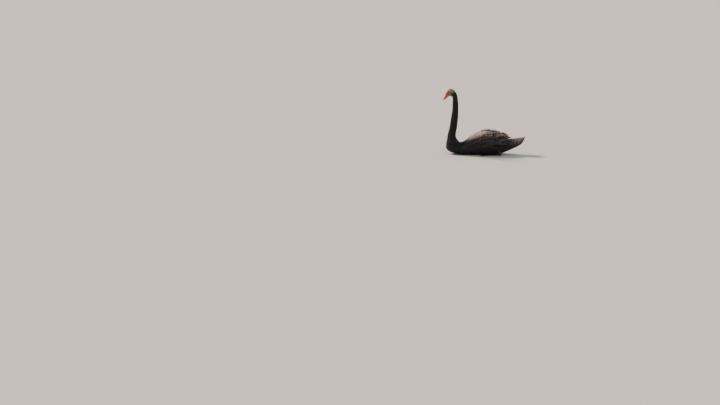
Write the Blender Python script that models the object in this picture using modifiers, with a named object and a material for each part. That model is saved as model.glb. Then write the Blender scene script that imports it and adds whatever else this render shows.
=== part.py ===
"""Black swan at life size in a floating pose: neck upright, bill tipped down, wings folded and ruffled.

The swan faces -X and its left side is -Y. It rests on its belly on the floor z = 0, the feet tucked under.
Sizes are in metres.
The origin is the middle of the flat patch that the belly rests on.
"""

import math
import random
from bisect import bisect_right

import bmesh
import bpy
from mathutils import Matrix, Vector

GAP = 0.0003  # clear space between nodes that touch
SEED = 7

# Body: how far back from the origin, underside, back, half width.
BREAST_X = -0.386
TAIL_X = 0.262
TAIL_CORE_END_X = 0.335
BREAST_ROUND = 0.060
WIDEST_LEVEL = 0.42
BODY_PROFILE = (
    (BREAST_X, 0.030, 0.120, 0.064),
    (-0.345, 0.016, 0.126, 0.076),
    (-0.300, 0.007, 0.120, 0.088),
    (-0.250, 0.001, 0.114, 0.098),
    (-0.200, -0.0030, 0.128, 0.108),
    (-0.140, -0.0035, 0.163, 0.115),
    (-0.080, -0.0035, 0.192, 0.119),
    (0.000, -0.0035, 0.213, 0.120),
    (0.080, -0.0010, 0.206, 0.115),
    (0.150, 0.010, 0.180, 0.100),
    (0.210, 0.032, 0.160, 0.080),
    (TAIL_X, 0.056, 0.155, 0.062),
    (0.310, 0.082, 0.159, 0.056),
    (0.345, 0.108, 0.164, 0.062),
    (0.365, 0.133, 0.169, 0.060),
    (0.379, 0.160, 0.174, 0.040),
)
BODY_SIDES = 28
FIRST_RINGS = (0.0012, 0.006, 0.015, 0.030)
RING_STEP = 0.030

# Neck: how high, how far back, half depth, half width, read down the neck.
NECK_PROFILE = (
    (0.601, -0.3240, 0.0225, 0.0210),
    (0.596, -0.3185, 0.0245, 0.0222),
    (0.583, -0.3080, 0.0258, 0.0232),
    (0.565, -0.2990, 0.0252, 0.0235),
    (0.545, -0.2945, 0.0252, 0.0235),
    (0.525, -0.2930, 0.0265, 0.0240),
    (0.505, -0.2920, 0.0290, 0.0252),
    (0.480, -0.2912, 0.0302, 0.0262),
    (0.445, -0.2915, 0.0310, 0.0270),
    (0.406, -0.2935, 0.0328, 0.0283),
    (0.367, -0.2970, 0.0350, 0.0300),
    (0.328, -0.3018, 0.0370, 0.0318),
    (0.289, -0.3060, 0.0374, 0.0330),
    (0.250, -0.3118, 0.0380, 0.0345),
    (0.211, -0.3205, 0.0405, 0.0375),
    (0.172, -0.3268, 0.0443, 0.0425),
    (0.140, -0.3245, 0.0495, 0.0500),
    (0.112, -0.3165, 0.0600, 0.0600),
    (0.088, -0.3100, 0.0700, 0.0670),
    (0.068, -0.3040, 0.0700, 0.0660),
)
NECK_CUTS = (0.525, 0.385, 0.245)  # heights of the cuts below head, upper neck and middle neck
NECK_SIDES = 16
NECK_STEP = 0.019

# Head: measured back from the bill's root along the head's own axis, which dips towards the floor.
HEAD_DIP = math.radians(52)
BILL_LENGTH = 0.072
BILL_TIP = Vector((-0.411, 0.0, 0.516))
SKULL_PROFILE = (
    (0.000, -0.0175, 0.0222, 0.0150),
    (0.010, -0.0205, 0.0240, 0.0175),
    (0.022, -0.0232, 0.0252, 0.0205),
    (0.036, -0.0248, 0.0258, 0.0230),
    (0.048, -0.0245, 0.0240, 0.0236),
    (0.0565, -0.0225, 0.0212, 0.0222),
    (0.063, -0.0185, 0.0162, 0.0188),
    (0.069, -0.0135, 0.0090, 0.0135),
    (0.073, -0.0080, 0.0015, 0.0055),
)
SKULL_SIDES = 20
OCCIPUT = Vector((-0.3150, 0.0, 0.6000))
OCCIPUT_SIZE = (0.0225, 0.0200, 0.0225)
THROAT_BACK, THROAT_UP = 0.0268, -0.0235
THROAT_SIZE = (0.0245, 0.0200, 0.0240)
EYE_BACK, EYE_UP = 0.0265, 0.0085
EYE_RADIUS = 0.0062
EYE_SUNK = 0.0042  # centre of the eyeball below the skin
LID_RADIUS, LID_THICKNESS = 0.0054, 0.0012
LID_SIDES = (14, 6)  # round the eye, and round the rim itself
LID_LONGER, LID_OUT = 1.15, 1.3  # length to height of the opening, and how far the rim stands out
HEAD_VOXEL, HEAD_SMOOTHING, HEAD_FACES = 0.0022, 36, 900
HEAD_SWELL = 0.0007  # what the smoothing takes off again
GAPE_DEPTH, GAPE_HEIGHT = 0.009, 0.0008

# Bill: measured forward from its root. The mouth line is a height, the mandibles a depth and a half width.
MOUTH_LINE = ((0.0, -0.0065), (0.020, -0.0075), (0.045, -0.0062), (0.062, -0.0045), (BILL_LENGTH, -0.0052))
UPPER_BILL = (
    (0.000, 0.0275, 0.0148),
    (0.014, 0.0238, 0.0140),
    (0.030, 0.0188, 0.0128),
    (0.046, 0.0152, 0.0123),
    (0.058, 0.0130, 0.0120),
    (0.065, 0.0110, 0.0102),
    (0.070, 0.0076, 0.0066),
    (BILL_LENGTH, 0.0042, 0.0032),
)
LOWER_BILL = (
    (0.000, 0.0112, 0.0130),
    (0.018, 0.0082, 0.0116),
    (0.038, 0.0058, 0.0105),
    (0.054, 0.0044, 0.0098),
    (0.062, 0.0032, 0.0078),
    (0.0665, 0.0018, 0.0040),
)
BILL_SIDES = 9
NOSTRIL_AT, NOSTRIL_UP = 0.031, 0.0075  # forward of the root, above the mouth line
NOSTRIL_LENGTH, NOSTRIL_HEIGHT, NOSTRIL_DEPTH = 0.0095, 0.0030, 0.0022
NAIL_BACK, NAIL_UP = 0.0062, 0.0026
NAIL_SIZE = (0.0068, 0.0058, 0.0052)

# Folded wing: a pad on the body, thickest beside the midline, that the feathers grow from.
WING_FRONT_X, WING_REAR_X = -0.195, 0.175
WING_FRONT = ((WING_FRONT_X, 0.005), (-0.15, 0.012), (-0.10, 0.018), (-0.04, 0.023))
WING_SWELL = (*WING_FRONT, (0.02, 0.024), (0.07, 0.023))
WING_PAD = (*WING_SWELL, (0.12, 0.020), (WING_REAR_X, 0.009))
WING_COAT = (*WING_SWELL, (0.12, 0.023), (0.17, 0.023), (0.21, 0.018), (0.24, 0.012), (0.30, 0.010))
WING_TOP_ANGLE = ((WING_FRONT_X, 52), (-0.17, 26), (-0.13, 6), (-0.09, 3), (0.30, 3))
WING_EDGE_ANGLE = ((WING_FRONT_X, 66), (-0.16, 78), (-0.08, 86), (0.02, 86), (0.10, 80), (WING_REAR_X, 60))
WING_ROWS, WING_COLUMNS = 11, 7
MIDLINE = 0.0010  # the wings keep this far from the plane between them

# Vanes of the wing, tier by tier: name, count, and for the first and last feather the root's distance back,
# its angle down from the midline, the turn downwards and the length. Then the half width, and for the first
# and last feather the pitch off the wing at the root and at the tip.
WING_TIERS = (
    ("primary", 4, (0.095, 0.060), (36, 54), (-6, -10), (0.150, 0.145), 0.0105, (1, 2), (3, 5)),
    ("secondary", 7, (0.085, -0.085), (62, 79), (2, 4), (0.112, 0.098), 0.0130, (2, 3), (5, 6)),
    ("greater_covert", 7, (0.070, -0.115), (50, 65), (4, 6), (0.080, 0.068), 0.0140, (3, 3), (8, 9)),
    ("median_covert", 7, (0.030, -0.140), (38, 52), (5, 8), (0.064, 0.052), 0.0135, (3, 4), (10, 12)),
    ("lesser_covert", 6, (-0.035, -0.160), (26, 38), (6, 9), (0.052, 0.042), 0.0125, (4, 4), (10, 14)),
    ("tertial", 6, (0.100, 0.030), (12, 36), (0, 3), (0.118, 0.100), 0.0140, (2, 5), (26, 48)),
    ("scapular_low", 5, (0.040, -0.050), (23, 33), (2, 8), (0.078, 0.070), 0.0130, (5, 6), (34, 48)),
    ("scapular_top", 6, (0.095, -0.065), (8.0, 9.5), (0, 2), (0.082, 0.070), 0.0120, (4, 5), (30, 46)),
)
TAIL_TIERS = (
    ("rectrix", 9, (0.272, 0.272), (-84, 84), (-4, 4), (0.106, 0.106), 0.0145, (2, 2), (2, 2)),
    ("upper_covert", 6, (0.270, 0.270), (-66, 66), (-3, 3), (0.062, 0.062), 0.0130, (5, 5), (16, 16)),
    ("under_covert", 5, (0.268, 0.268), (118, 242), (3, -3), (0.064, 0.064), 0.0145, (3, 3), (4, 4)),
)
# The share of a vane's length and of its width at each row from root to tip.
VANE_STEPS = ((0.00, 0.50), (0.28, 0.92), (0.58, 1.00), (0.85, 0.86), (1.00, 0.42))
VANE_THICKNESS = 0.0016
VANE_TIP_THICKNESS = 0.0007
VANE_SUNK = 0.0030  # how deep the root sits in the pad

# Leg and foot, lying forward under the flank.
LEG_Y = 0.080
HEEL_X, TARSUS_FRONT_X = 0.150, 0.058
HEEL_RADIUS, TARSUS_RADIUS = 0.0088, 0.0056
TOE_FANS = ((-2, 0.090), (9, 0.112), (21, 0.098))  # heading outwards in degrees, and length
TOE_RADIUS = 0.0044
TOE_SIDES = 6
TOE_SUNK = 0.86  # height of the toe's centre in its own radii, so that it lies flat on the floor
# The share of a toe's length and of its thickness at each row from the root to the claw's tip.
TOE_STEPS = ((-0.04, 1.08), (0.30, 0.88), (0.52, 0.95), (0.86, 0.72), (0.93, 0.45), (1.0, 0.14))
PALM_OFFSET = Vector((0.001, 0.0, 0.0045))
PALM_SIZE = (0.0065, 0.0080, 0.0050)
WEB_HEIGHT, WEB_THICKNESS = 0.0030, 0.0014
WEB_SHARES = (0.06, 0.5, 1.0)
WEB_REACH = 0.84  # how far along the toes the web runs

BLACK = (0.018, 0.017, 0.018, 1.0)
RED = (0.42, 0.035, 0.030, 1.0)
EYE_RED = (0.30, 0.02, 0.015, 1.0)
LEG_GREY = (0.035, 0.035, 0.037, 1.0)


def smooth(rows):
    """A function through rows (t, value, ...) that doesn't overshoot them. One value gives a number."""
    times = [row[0] for row in rows]
    columns = list(zip(*[row[1:] for row in rows]))
    slopes = []
    for column in columns:
        rates = [(column[i + 1] - column[i]) / (times[i + 1] - times[i]) for i in range(len(times) - 1)]
        inner = [0 if a * b <= 0 else 2 * a * b / (a + b) for a, b in zip(rates, rates[1:])]
        slopes.append([rates[0], *inner, rates[-1]])

    def at(t):
        t = min(max(t, times[0]), times[-1])
        i = min(bisect_right(times, t), len(times) - 1) - 1
        span = times[i + 1] - times[i]
        u = (t - times[i]) / span
        found = []
        for column, slope in zip(columns, slopes):
            rise = (1 - u) ** 2 * (1 + 2 * u) * column[i] + u * u * (3 - 2 * u) * column[i + 1]
            found.append(rise + span * u * (1 - u) * ((1 - u) * slope[i] - u * slope[i + 1]))
        return found[0] if len(found) == 1 else found

    return at


def material(name, colour, roughness):
    made = bpy.data.materials.new(name)
    made.use_nodes = True
    shader = made.node_tree.nodes["Principled BSDF"]
    shader.inputs["Base Color"].default_value = colour
    shader.inputs["Roughness"].default_value = roughness
    shader.inputs["Metallic"].default_value = 0.0
    return made


def new_object(name, mesh, finish, collection):
    made = bpy.data.objects.new(name, mesh)
    mesh.materials.clear()
    mesh.materials.append(finish)
    mesh.shade_smooth()
    mesh.set_sharp_from_angle(angle=math.radians(40))
    collection.objects.link(made)
    return made


def mesh_from(bm, name):
    bmesh.ops.recalc_face_normals(bm, faces=bm.faces)
    mesh = bpy.data.meshes.new(name)
    bm.to_mesh(mesh)
    bm.free()
    return mesh


def loft(name, rings):
    """A closed mesh through rings of like point counts, with a fan over each end."""
    bm = bmesh.new()
    rows = [[bm.verts.new(point) for point in ring] for ring in rings]
    count = len(rows[0])
    for near, far in zip(rows, rows[1:]):
        for i in range(count):
            j = (i + 1) % count
            bm.faces.new((near[i], near[j], far[j]))
            bm.faces.new((near[i], far[j], far[i]))
    for row in (rows[0], rows[-1]):
        middle = bm.verts.new(sum((v.co for v in row), Vector()) / count)
        for i in range(count):
            bm.faces.new((middle, row[i], row[(i + 1) % count]))
    return mesh_from(bm, name)


def sheet(name, rows):
    """A closed plate from rows of upper left and right, lower right and left, split alike on both faces."""
    bm = bmesh.new()
    rows = [[bm.verts.new(point) for point in row] for row in rows]
    for near, far in zip(rows, rows[1:]):
        bm.faces.new((near[0], near[1], far[1]))
        bm.faces.new((near[0], far[1], far[0]))
        bm.faces.new((near[3], far[2], near[2]))
        bm.faces.new((near[3], far[3], far[2]))
        for a, b in ((1, 2), (3, 0)):
            bm.faces.new((near[a], near[b], far[b]))
            bm.faces.new((near[a], far[b], far[a]))
    for row in (rows[0], rows[-1]):
        bm.faces.new((row[0], row[1], row[2]))
        bm.faces.new((row[0], row[2], row[3]))
    return mesh_from(bm, name)


def grown(mesh, margin):
    """A copy of a closed mesh, thicker all round by margin."""
    bm = bmesh.new()
    bm.from_mesh(mesh)
    bm.normal_update()
    moves = [(v, v.normal * v.calc_shell_factor() * margin) for v in bm.verts]
    for vertex, move in moves:
        vertex.co += move
    return mesh_from(bm, mesh.name + "_grown")


def evaluated(obj):
    """The object's mesh with its modifiers applied, in its own place."""
    bpy.context.view_layer.update()
    graph = bpy.context.evaluated_depsgraph_get()
    return bpy.data.meshes.new_from_object(obj.evaluated_get(graph))


def largest_body(mesh):
    """Keeps the closed surface that holds the most, and drops loose scraps and sealed hollows."""
    bm = bmesh.new()
    bm.from_mesh(mesh)
    unseen = set(bm.verts)
    bodies = []
    while unseen:
        start = unseen.pop()
        found, edge = {start}, [start]
        while edge:
            near = edge.pop()
            for link in near.link_edges:
                other = link.other_vert(near)
                if other in unseen:
                    unseen.discard(other)
                    found.add(other)
                    edge.append(other)
        bodies.append(found)
    size = {id(body): sum_volume(body) for body in bodies}
    keep = max(bodies, key=lambda body: size[id(body)])
    bmesh.ops.delete(bm, geom=[v for v in bm.verts if v not in keep], context="VERTS")
    bmesh.ops.triangulate(bm, faces=[f for f in bm.faces if len(f.verts) > 3])
    bm.to_mesh(mesh)
    bm.free()
    return mesh


def sum_volume(vertices):
    faces = {face for vertex in vertices for face in vertex.link_faces}
    return sum(face.calc_area() * face.normal.dot(face.calc_center_median()) for face in faces) / 3


def combined(core, pieces, operation, solver="MANIFOLD"):
    """core joined with, or cut by, a list of closed meshes."""
    group = bpy.data.collections.new("pieces")
    bpy.context.scene.collection.children.link(group)
    for number, mesh in enumerate(pieces):
        group.objects.link(bpy.data.objects.new(f"piece_{number}", mesh))
    holder = bpy.data.objects.new("core", core)
    bpy.context.scene.collection.objects.link(holder)
    boolean = holder.modifiers.new("pieces", "BOOLEAN")
    boolean.operation = operation
    boolean.operand_type = "COLLECTION"
    boolean.collection = group
    boolean.solver = solver
    made = evaluated(holder)
    for obj in [holder, *group.objects]:
        bpy.data.objects.remove(obj)
    bpy.data.collections.remove(group)
    return largest_body(made)


def box(low, high):
    bm = bmesh.new()
    bmesh.ops.create_cube(bm, size=1.0)
    size = Vector(high) - Vector(low)
    middle = (Vector(high) + Vector(low)) / 2
    bmesh.ops.transform(bm, matrix=Matrix.Translation(middle) @ Matrix.Diagonal((*size, 1.0)), verts=bm.verts)
    return mesh_from(bm, "box")


def ball(middle, radii, turn=None, segments=12, rings=8):
    """A sphere stretched to three radii and turned, about its middle."""
    bm = bmesh.new()
    bmesh.ops.create_uvsphere(bm, u_segments=segments, v_segments=rings, radius=1.0)
    place = Matrix.Translation(middle) @ (turn or Matrix.Identity(4)) @ Matrix.Diagonal((*radii, 1.0))
    bmesh.ops.transform(bm, matrix=place, verts=bm.verts)
    return mesh_from(bm, "ball")


body_size = smooth(BODY_PROFILE)


def body_section(x):
    """(underside, back, half width) of the body at x, rounded off at the breast."""
    low, top, half = body_size(x)
    ahead = min(max((x - BREAST_X) / BREAST_ROUND, 0.0), 1.0)
    swell = math.sqrt(1 - (1 - ahead) ** 2)
    level = low + (top - low) * WIDEST_LEVEL
    return level - (level - low) * swell, level + (top - level) * swell, half * swell


def body_point(x, angle):
    """A point of the body's surface. The angle runs from the back over the right side to the underside."""
    low, top, half = body_section(x)
    level = low + (top - low) * WIDEST_LEVEL
    up = math.cos(angle)
    reach = top - level if up > 0 else level - low
    return Vector((x, half * math.sin(angle), max(level + reach * up, 0.0)))


def body_frame(x, angle, lift=0.0):
    """(point, outward normal, tailward direction, direction round the body) on the body's surface."""
    step = 0.002
    back = body_point(x + step, angle) - body_point(x - step, angle)
    around = body_point(x, angle + step * 5) - body_point(x, angle - step * 5)
    back.normalize()
    around.normalize()
    normal = around.cross(back).normalized()
    if normal.dot(Vector((0.0, math.sin(angle), math.cos(angle)))) < 0:
        normal.negate()
    return body_point(x, angle) + normal * lift, normal, back, around


def body_rings(start, end, first=()):
    count = max(2, round((end - start) / RING_STEP))
    stations = [start + distance for distance in first]
    begin = stations[-1] if stations else start
    steps = range(1 if stations else 0, count + 1)
    stations += [begin + (end - begin) * i / count for i in steps]
    turn = 2 * math.pi / BODY_SIDES
    return [[body_point(x, i * turn) for i in range(BODY_SIDES)] for x in stations]


neck_size = smooth(sorted(NECK_PROFILE))


def neck_ring(height):
    """A ring square to the neck's line where the line is at this height."""
    step = 0.002
    x, depth, width = neck_size(height)
    rise = Vector((neck_size(height + step)[0] - neck_size(height - step)[0], 0.0, 2 * step)).normalized()
    front = Vector((-rise.z, 0.0, rise.x))
    middle = Vector((x, 0.0, height))
    turn = 2 * math.pi / NECK_SIDES
    return [
        middle + front * (depth * math.cos(i * turn)) + Vector((0.0, width * math.sin(i * turn), 0.0))
        for i in range(NECK_SIDES)
    ]


def neck_length(name, high, low, trim_high=True, trim_low=True):
    """The neck between two heights, each end drawn in by half a gap where another node meets it."""
    high -= GAP / 2 if trim_high else 0.0
    low += GAP / 2 if trim_low else 0.0
    count = max(2, round((high - low) / NECK_STEP))
    return loft(name, [neck_ring(high + (low - high) * i / count) for i in range(count + 1)])


HEAD_FORWARD = Vector((-math.cos(HEAD_DIP), 0.0, -math.sin(HEAD_DIP)))
HEAD_UP = Vector((-math.sin(HEAD_DIP), 0.0, math.cos(HEAD_DIP)))
BILL_ROOT = BILL_TIP - HEAD_FORWARD * BILL_LENGTH
HEAD_TURN = Matrix((-HEAD_FORWARD, Vector((0.0, 1.0, 0.0)), HEAD_UP)).transposed().to_4x4()


def head_point(back, side, up):
    """A place on the head, from its distance behind the bill's root, to the right and above the axis."""
    return BILL_ROOT - HEAD_FORWARD * back + Vector((0.0, side, 0.0)) + HEAD_UP * up


skull_size = smooth(SKULL_PROFILE)


def skull_ring(back):
    low, top, half = skull_size(back)
    middle = (low + top) / 2
    turn = 2 * math.pi / SKULL_SIDES
    return [
        head_point(back, half * math.sin(i * turn), middle + (top - middle) * math.cos(i * turn))
        for i in range(SKULL_SIDES)
    ]


def skull_side(back, up):
    """Half width of the skull at a distance back and a height on the head."""
    low, top, half = skull_size(back)
    middle, reach = (low + top) / 2, (top - low) / 2
    return half * math.sqrt(max(0.0, 1 - ((up - middle) / reach) ** 2))


def eye_socket(side):
    """(middle of the eyeball, turn that lays local Y along the skin's outward normal there)."""
    step = 0.001
    along = (skull_side(EYE_BACK + step, EYE_UP) - skull_side(EYE_BACK - step, EYE_UP)) / (2 * step)
    rise = (skull_side(EYE_BACK, EYE_UP + step) - skull_side(EYE_BACK, EYE_UP - step)) / (2 * step)
    normal = Vector((-along, side, -rise)).normalized()
    back = Vector((1.0, side * along, 0.0)).normalized()
    turn = Matrix((back, normal, back.cross(normal))).transposed().to_4x4()
    skin = head_point(EYE_BACK, side * skull_side(EYE_BACK, EYE_UP), EYE_UP)
    turn = HEAD_TURN @ turn
    return skin - turn.to_3x3() @ Vector((0.0, EYE_SUNK, 0.0)), turn


def lid_ring(side):
    """The rim of skin round one eye, a little longer than high."""
    bm = bmesh.new()
    around, across = LID_SIDES
    middle, turn = eye_socket(side)
    place = Matrix.Translation(middle) @ turn
    rows = []
    for i in range(around):
        a = 2 * math.pi * i / around
        row = []
        for j in range(across):
            b = 2 * math.pi * j / across
            reach = LID_RADIUS + LID_THICKNESS * math.cos(b)
            out = EYE_SUNK + LID_THICKNESS * math.sin(b) * LID_OUT
            local = Vector((reach * LID_LONGER * math.cos(a), out, reach * math.sin(a)))
            row.append(bm.verts.new(place @ local))
        rows.append(row)
    for i in range(around):
        near, far = rows[i], rows[(i + 1) % around]
        for j in range(across):
            k = (j + 1) % across
            bm.faces.new((near[j], near[k], far[k], far[j]))
    return mesh_from(bm, "lid")


def melted(meshes):
    """Closed meshes that overlap, run together into one smooth skin."""
    bm = bmesh.new()
    for mesh in meshes:
        bm.from_mesh(mesh)
    holder = bpy.data.objects.new("melt", mesh_from(bm, "melt"))
    bpy.context.scene.collection.objects.link(holder)
    remesh = holder.modifiers.new("skin", "REMESH")
    remesh.mode = "VOXEL"
    remesh.voxel_size = HEAD_VOXEL
    swell = holder.modifiers.new("swell", "DISPLACE")
    swell.strength = HEAD_SWELL
    swell.mid_level = 0.0
    even = holder.modifiers.new("even", "SMOOTH")
    even.iterations = HEAD_SMOOTHING
    fine = evaluated(holder)
    lighter = holder.modifiers.new("lighter", "DECIMATE")
    lighter.ratio = HEAD_FACES / (2 * len(fine.polygons))
    made = evaluated(holder)
    bpy.data.objects.remove(holder)
    return made


def beyond(point, outward):
    """A box that covers the end of the head beyond a plane."""
    mesh = box((-0.045, -0.045, 0.0), (0.045, 0.045, 0.03))
    mesh.transform(Matrix.Translation(point) @ outward.to_track_quat("Z", "Y").to_matrix().to_4x4())
    return mesh


def make_head(finish, collection):
    """Skull and the bend of the neck in one skin, with lids, sockets for the eyes and the mouth's corner."""
    stations = [0.0, 0.006, 0.012, 0.018, 0.025, 0.033, 0.042, 0.050, 0.057, 0.062, 0.067, 0.071, 0.073]
    face = [point + HEAD_FORWARD * 0.008 for point in skull_ring(0.0)]
    skull = loft("skull", [face] + [skull_ring(back) for back in stations])
    cut = NECK_CUTS[0]
    nape = neck_length("nape", NECK_PROFILE[0][0], cut - 0.012, trim_high=False)
    throat = ball(head_point(THROAT_BACK, 0.0, THROAT_UP), THROAT_SIZE, HEAD_TURN)
    skin = melted([skull, nape, throat, ball(OCCIPUT, OCCIPUT_SIZE)])
    ring = neck_ring(cut + GAP / 2)
    down = (ring[4] - ring[0]).cross(ring[0] - ring[8]).normalized()
    down = -down if down.z > 0 else down
    planes = [beyond(head_point(0.0, 0.0, 0.004), HEAD_FORWARD), beyond((ring[0] + ring[8]) / 2, down)]
    whole = combined(combined(skin, planes, "DIFFERENCE"), [lid_ring(-1), lid_ring(1)], "UNION")
    cuts = [ball(eye_socket(side)[0], (EYE_RADIUS + GAP,) * 3, segments=12, rings=8) for side in (-1, 1)]
    gape = box((-0.004, -0.03, -GAPE_HEIGHT / 2), (GAPE_DEPTH, 0.03, GAPE_HEIGHT / 2))
    gape.transform(Matrix.Translation(head_point(0.0, 0.0, MOUTH_LINE[0][1])) @ HEAD_TURN)
    return new_object("head", combined(whole, [*cuts, gape], "DIFFERENCE"), finish, collection)


def make_eye(side, finish, collection):
    mesh = ball(eye_socket(side)[0], (EYE_RADIUS,) * 3, segments=12, rings=8)
    return new_object("eye_left" if side < 0 else "eye_right", mesh, finish, collection)


mouth_line = smooth(MOUTH_LINE)
upper_size = smooth(UPPER_BILL)
lower_size = smooth(LOWER_BILL)


def mandible_ring(forward, size, side):
    """Half an oval above (side 1) or below (side -1) the mouth line, with a flat edge along it."""
    depth, half = size(forward)
    base = mouth_line(forward) + side * GAP / 2
    arch = []
    for i in range(BILL_SIDES + 1):
        a = math.pi * i / BILL_SIDES
        arch.append(head_point(-forward - GAP, half * math.cos(a), base + side * depth * math.sin(a) ** 0.85))
    return arch


def make_bill(finish, collection):
    """The two mandibles, the upper one with its nostrils and the nail that hooks over the tip."""
    stations = [0.0, 0.012, 0.024, 0.036, 0.047, 0.057, 0.064, 0.069, BILL_LENGTH - GAP]
    upper = loft("upper", [mandible_ring(forward, upper_size, 1) for forward in stations])
    tip = head_point(-BILL_LENGTH + NAIL_BACK, 0.0, mouth_line(BILL_LENGTH) + NAIL_UP)
    nail = ball(tip, NAIL_SIZE, HEAD_TURN, segments=10, rings=6)
    slots = []
    for side in (-1, 1):
        at = mouth_line(NOSTRIL_AT) + NOSTRIL_UP
        depth, half = upper_size(NOSTRIL_AT)
        reach = half * math.sqrt(1 - (NOSTRIL_UP / depth) ** 2)
        place = head_point(-NOSTRIL_AT, side * (reach + 0.0006), at)
        slots.append(ball(place, (NOSTRIL_LENGTH / 2, NOSTRIL_DEPTH, NOSTRIL_HEIGHT / 2), HEAD_TURN, 10, 6))
    top = combined(combined(upper, [nail], "UNION"), slots, "DIFFERENCE")
    new_object("bill_upper", top, finish, collection)
    stations = [0.0, 0.014, 0.028, 0.042, 0.053, 0.060, 0.064, 0.0665]
    lower = loft("lower", [mandible_ring(forward, lower_size, -1) for forward in stations])
    clear = combined(lower, [grown(nail, GAP * 1.5)], "DIFFERENCE")
    new_object("bill_lower", clear, finish, collection)


wing_pad = smooth(WING_PAD)
wing_coat = smooth(WING_COAT)
wing_top = smooth(WING_TOP_ANGLE)
wing_edge = smooth(WING_EDGE_ANGLE)


def wing_side(angle):
    """How the wing thins from the back down its side, angle in degrees."""
    return 0.42 + 0.58 / (1 + (max(angle, 0.0) / 52) ** 4)


def wing_core(side):
    """The pad as a closed form that reaches into the body, before the body is cut out of it."""
    rings = []
    for row in range(WING_ROWS + 1):
        x = WING_FRONT_X + (WING_REAR_X - WING_FRONT_X) * row / WING_ROWS
        first, last = wing_top(x), wing_edge(x)
        outer, inner = [], []
        for column in range(WING_COLUMNS + 1):
            share = column / WING_COLUMNS
            degrees = first + (last - first) * share
            angle = side * math.radians(degrees)
            fade = (1 - share**6) ** 0.5
            lift = wing_pad(x) * wing_side(degrees) * fade + 0.0006
            outer.append(body_frame(x, angle, lift)[0])
            inner.append(body_frame(x, angle, -0.006)[0])
        rings.append(outer + inner[::-1])
    return loft("wing_core", rings)


def wing_frame(x, angle, lift=0.0):
    """As body_frame, on the surface that the folded wing's feathers lie along."""
    degrees = abs(math.degrees(angle))
    return body_frame(x, angle, wing_coat(x) * wing_side(degrees) + lift)


def vane(frame, x, degrees, turn, length, half, pitches, side=0):
    """One feather as a closed plate. It leaves its surface at the first pitch and ends at the second."""
    rows = []
    lift, travelled = -VANE_SUNK, 0.0
    heading = math.radians(turn)
    angle = math.radians(degrees) * (side or 1)
    for share, spread in VANE_STEPS:
        pitch = math.radians(pitches[0] + (pitches[1] - pitches[0]) * share**3)
        step = length * share - travelled
        travelled += step
        along = step * math.cos(pitch)
        lift += step * math.sin(pitch)
        x += along * math.cos(heading)
        point, normal, back, around = frame(x, angle, lift)
        radius = max(math.hypot(point.y, point.z - 0.1), 0.05)
        angle += along * math.sin(heading) * (side or 1) / radius
        thick = VANE_THICKNESS + (VANE_TIP_THICKNESS - VANE_THICKNESS) * share
        lean = back * math.cos(pitch) + normal * math.sin(pitch)
        upper = around.cross(lean).normalized()
        if upper.dot(normal) < 0:
            upper.negate()
        reach = around * (half * spread)
        corners = [point - reach, point + reach, point + reach - upper * thick, point - reach - upper * thick]
        if side:
            corners = [Vector((c.x, side * max(side * c.y, MIDLINE), c.z)) for c in corners]
        rows.append(corners)
    return sheet("vane", rows)


def tier_vanes(tiers, frame, side, chance):
    """The vanes of every tier, each a little different from its neighbours."""
    made = []
    for _, count, xs, angles, turns, lengths, half, pitches, curls in tiers:
        for i in range(count):
            share = i / (count - 1)
            x, degrees, turn, length, start, end = [
                first + (last - first) * share for first, last in (xs, angles, turns, lengths, pitches, curls)
            ]
            if not side:
                centre = abs(2 * share - 1)
                length *= 1 - 0.30 * centre**2
            length *= chance.uniform(0.93, 1.05)
            end *= chance.uniform(0.75, 1.15)
            x += chance.uniform(-0.003, 0.003)
            made.append(vane(frame, x, degrees, turn, length, half, (start, end), side))
    return made


def make_wing(side, torso_skin, finish, collection):
    """The pad with its tiers of vanes, kept clear of the body."""
    vanes = tier_vanes(WING_TIERS, wing_frame, side, random.Random(SEED + side))
    whole = combined(wing_core(side), vanes, "UNION")
    clear = combined(whole, [torso_skin], "DIFFERENCE")
    return new_object("wing_left" if side < 0 else "wing_right", clear, finish, collection)


def make_tail(torso_skin, finish, collection):
    """The tail's root with its fan of vanes and the coverts above and below it."""
    core = loft("tail", body_rings(TAIL_X + GAP, TAIL_CORE_END_X))
    vanes = tier_vanes(TAIL_TIERS, body_frame, 0, random.Random(SEED))
    whole = combined(core, vanes, "UNION")
    return new_object("tail", combined(whole, [torso_skin], "DIFFERENCE"), finish, collection)


def make_leg(side, torso_skin, finish, collection):
    """Heel and shank: a stub down from the flank, bent forward along the floor."""
    path = [
        ((HEEL_X - 0.030, 0.052), HEEL_RADIUS * 1.25),
        ((HEEL_X - 0.008, 0.032), HEEL_RADIUS * 1.1),
        ((HEEL_X, 0.016), HEEL_RADIUS),
        ((HEEL_X - 0.006, HEEL_RADIUS * 0.86), HEEL_RADIUS),
        ((HEEL_X - 0.022, 0.0062), TARSUS_RADIUS * 1.1),
        ((HEEL_X - 0.050, 0.0052), TARSUS_RADIUS),
        ((TARSUS_FRONT_X + 0.010, 0.0052), TARSUS_RADIUS * 1.05),
        ((TARSUS_FRONT_X + GAP, 0.0052), TARSUS_RADIUS * 1.15),
    ]
    rings = tube_rings([Vector((x, side * LEG_Y, z)) for (x, z), _ in path], [r for _, r in path], 10)
    floor = box((-1, -1, -0.1), (1, 1, 0))
    tube = combined(loft("leg", rings), [floor, torso_skin], "DIFFERENCE")
    return new_object("leg_left" if side < 0 else "leg_right", tube, finish, collection)


def tube_rings(points, radii, sides):
    """Rings along a path that stays in an upright plane, each square to it."""
    rings = []
    across = None
    for i, (point, radius) in enumerate(zip(points, radii)):
        along = (points[min(i + 1, len(points) - 1)] - points[max(i - 1, 0)]).normalized()
        if across is None:
            across = along.cross(Vector((0.0, 0.0, 1.0))).normalized()
        up = across.cross(along).normalized()
        turn = 2 * math.pi / sides
        rings.append([
            point + (across * math.cos(j * turn) + up * math.sin(j * turn)) * radius for j in range(sides)
        ])
    return rings


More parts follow.
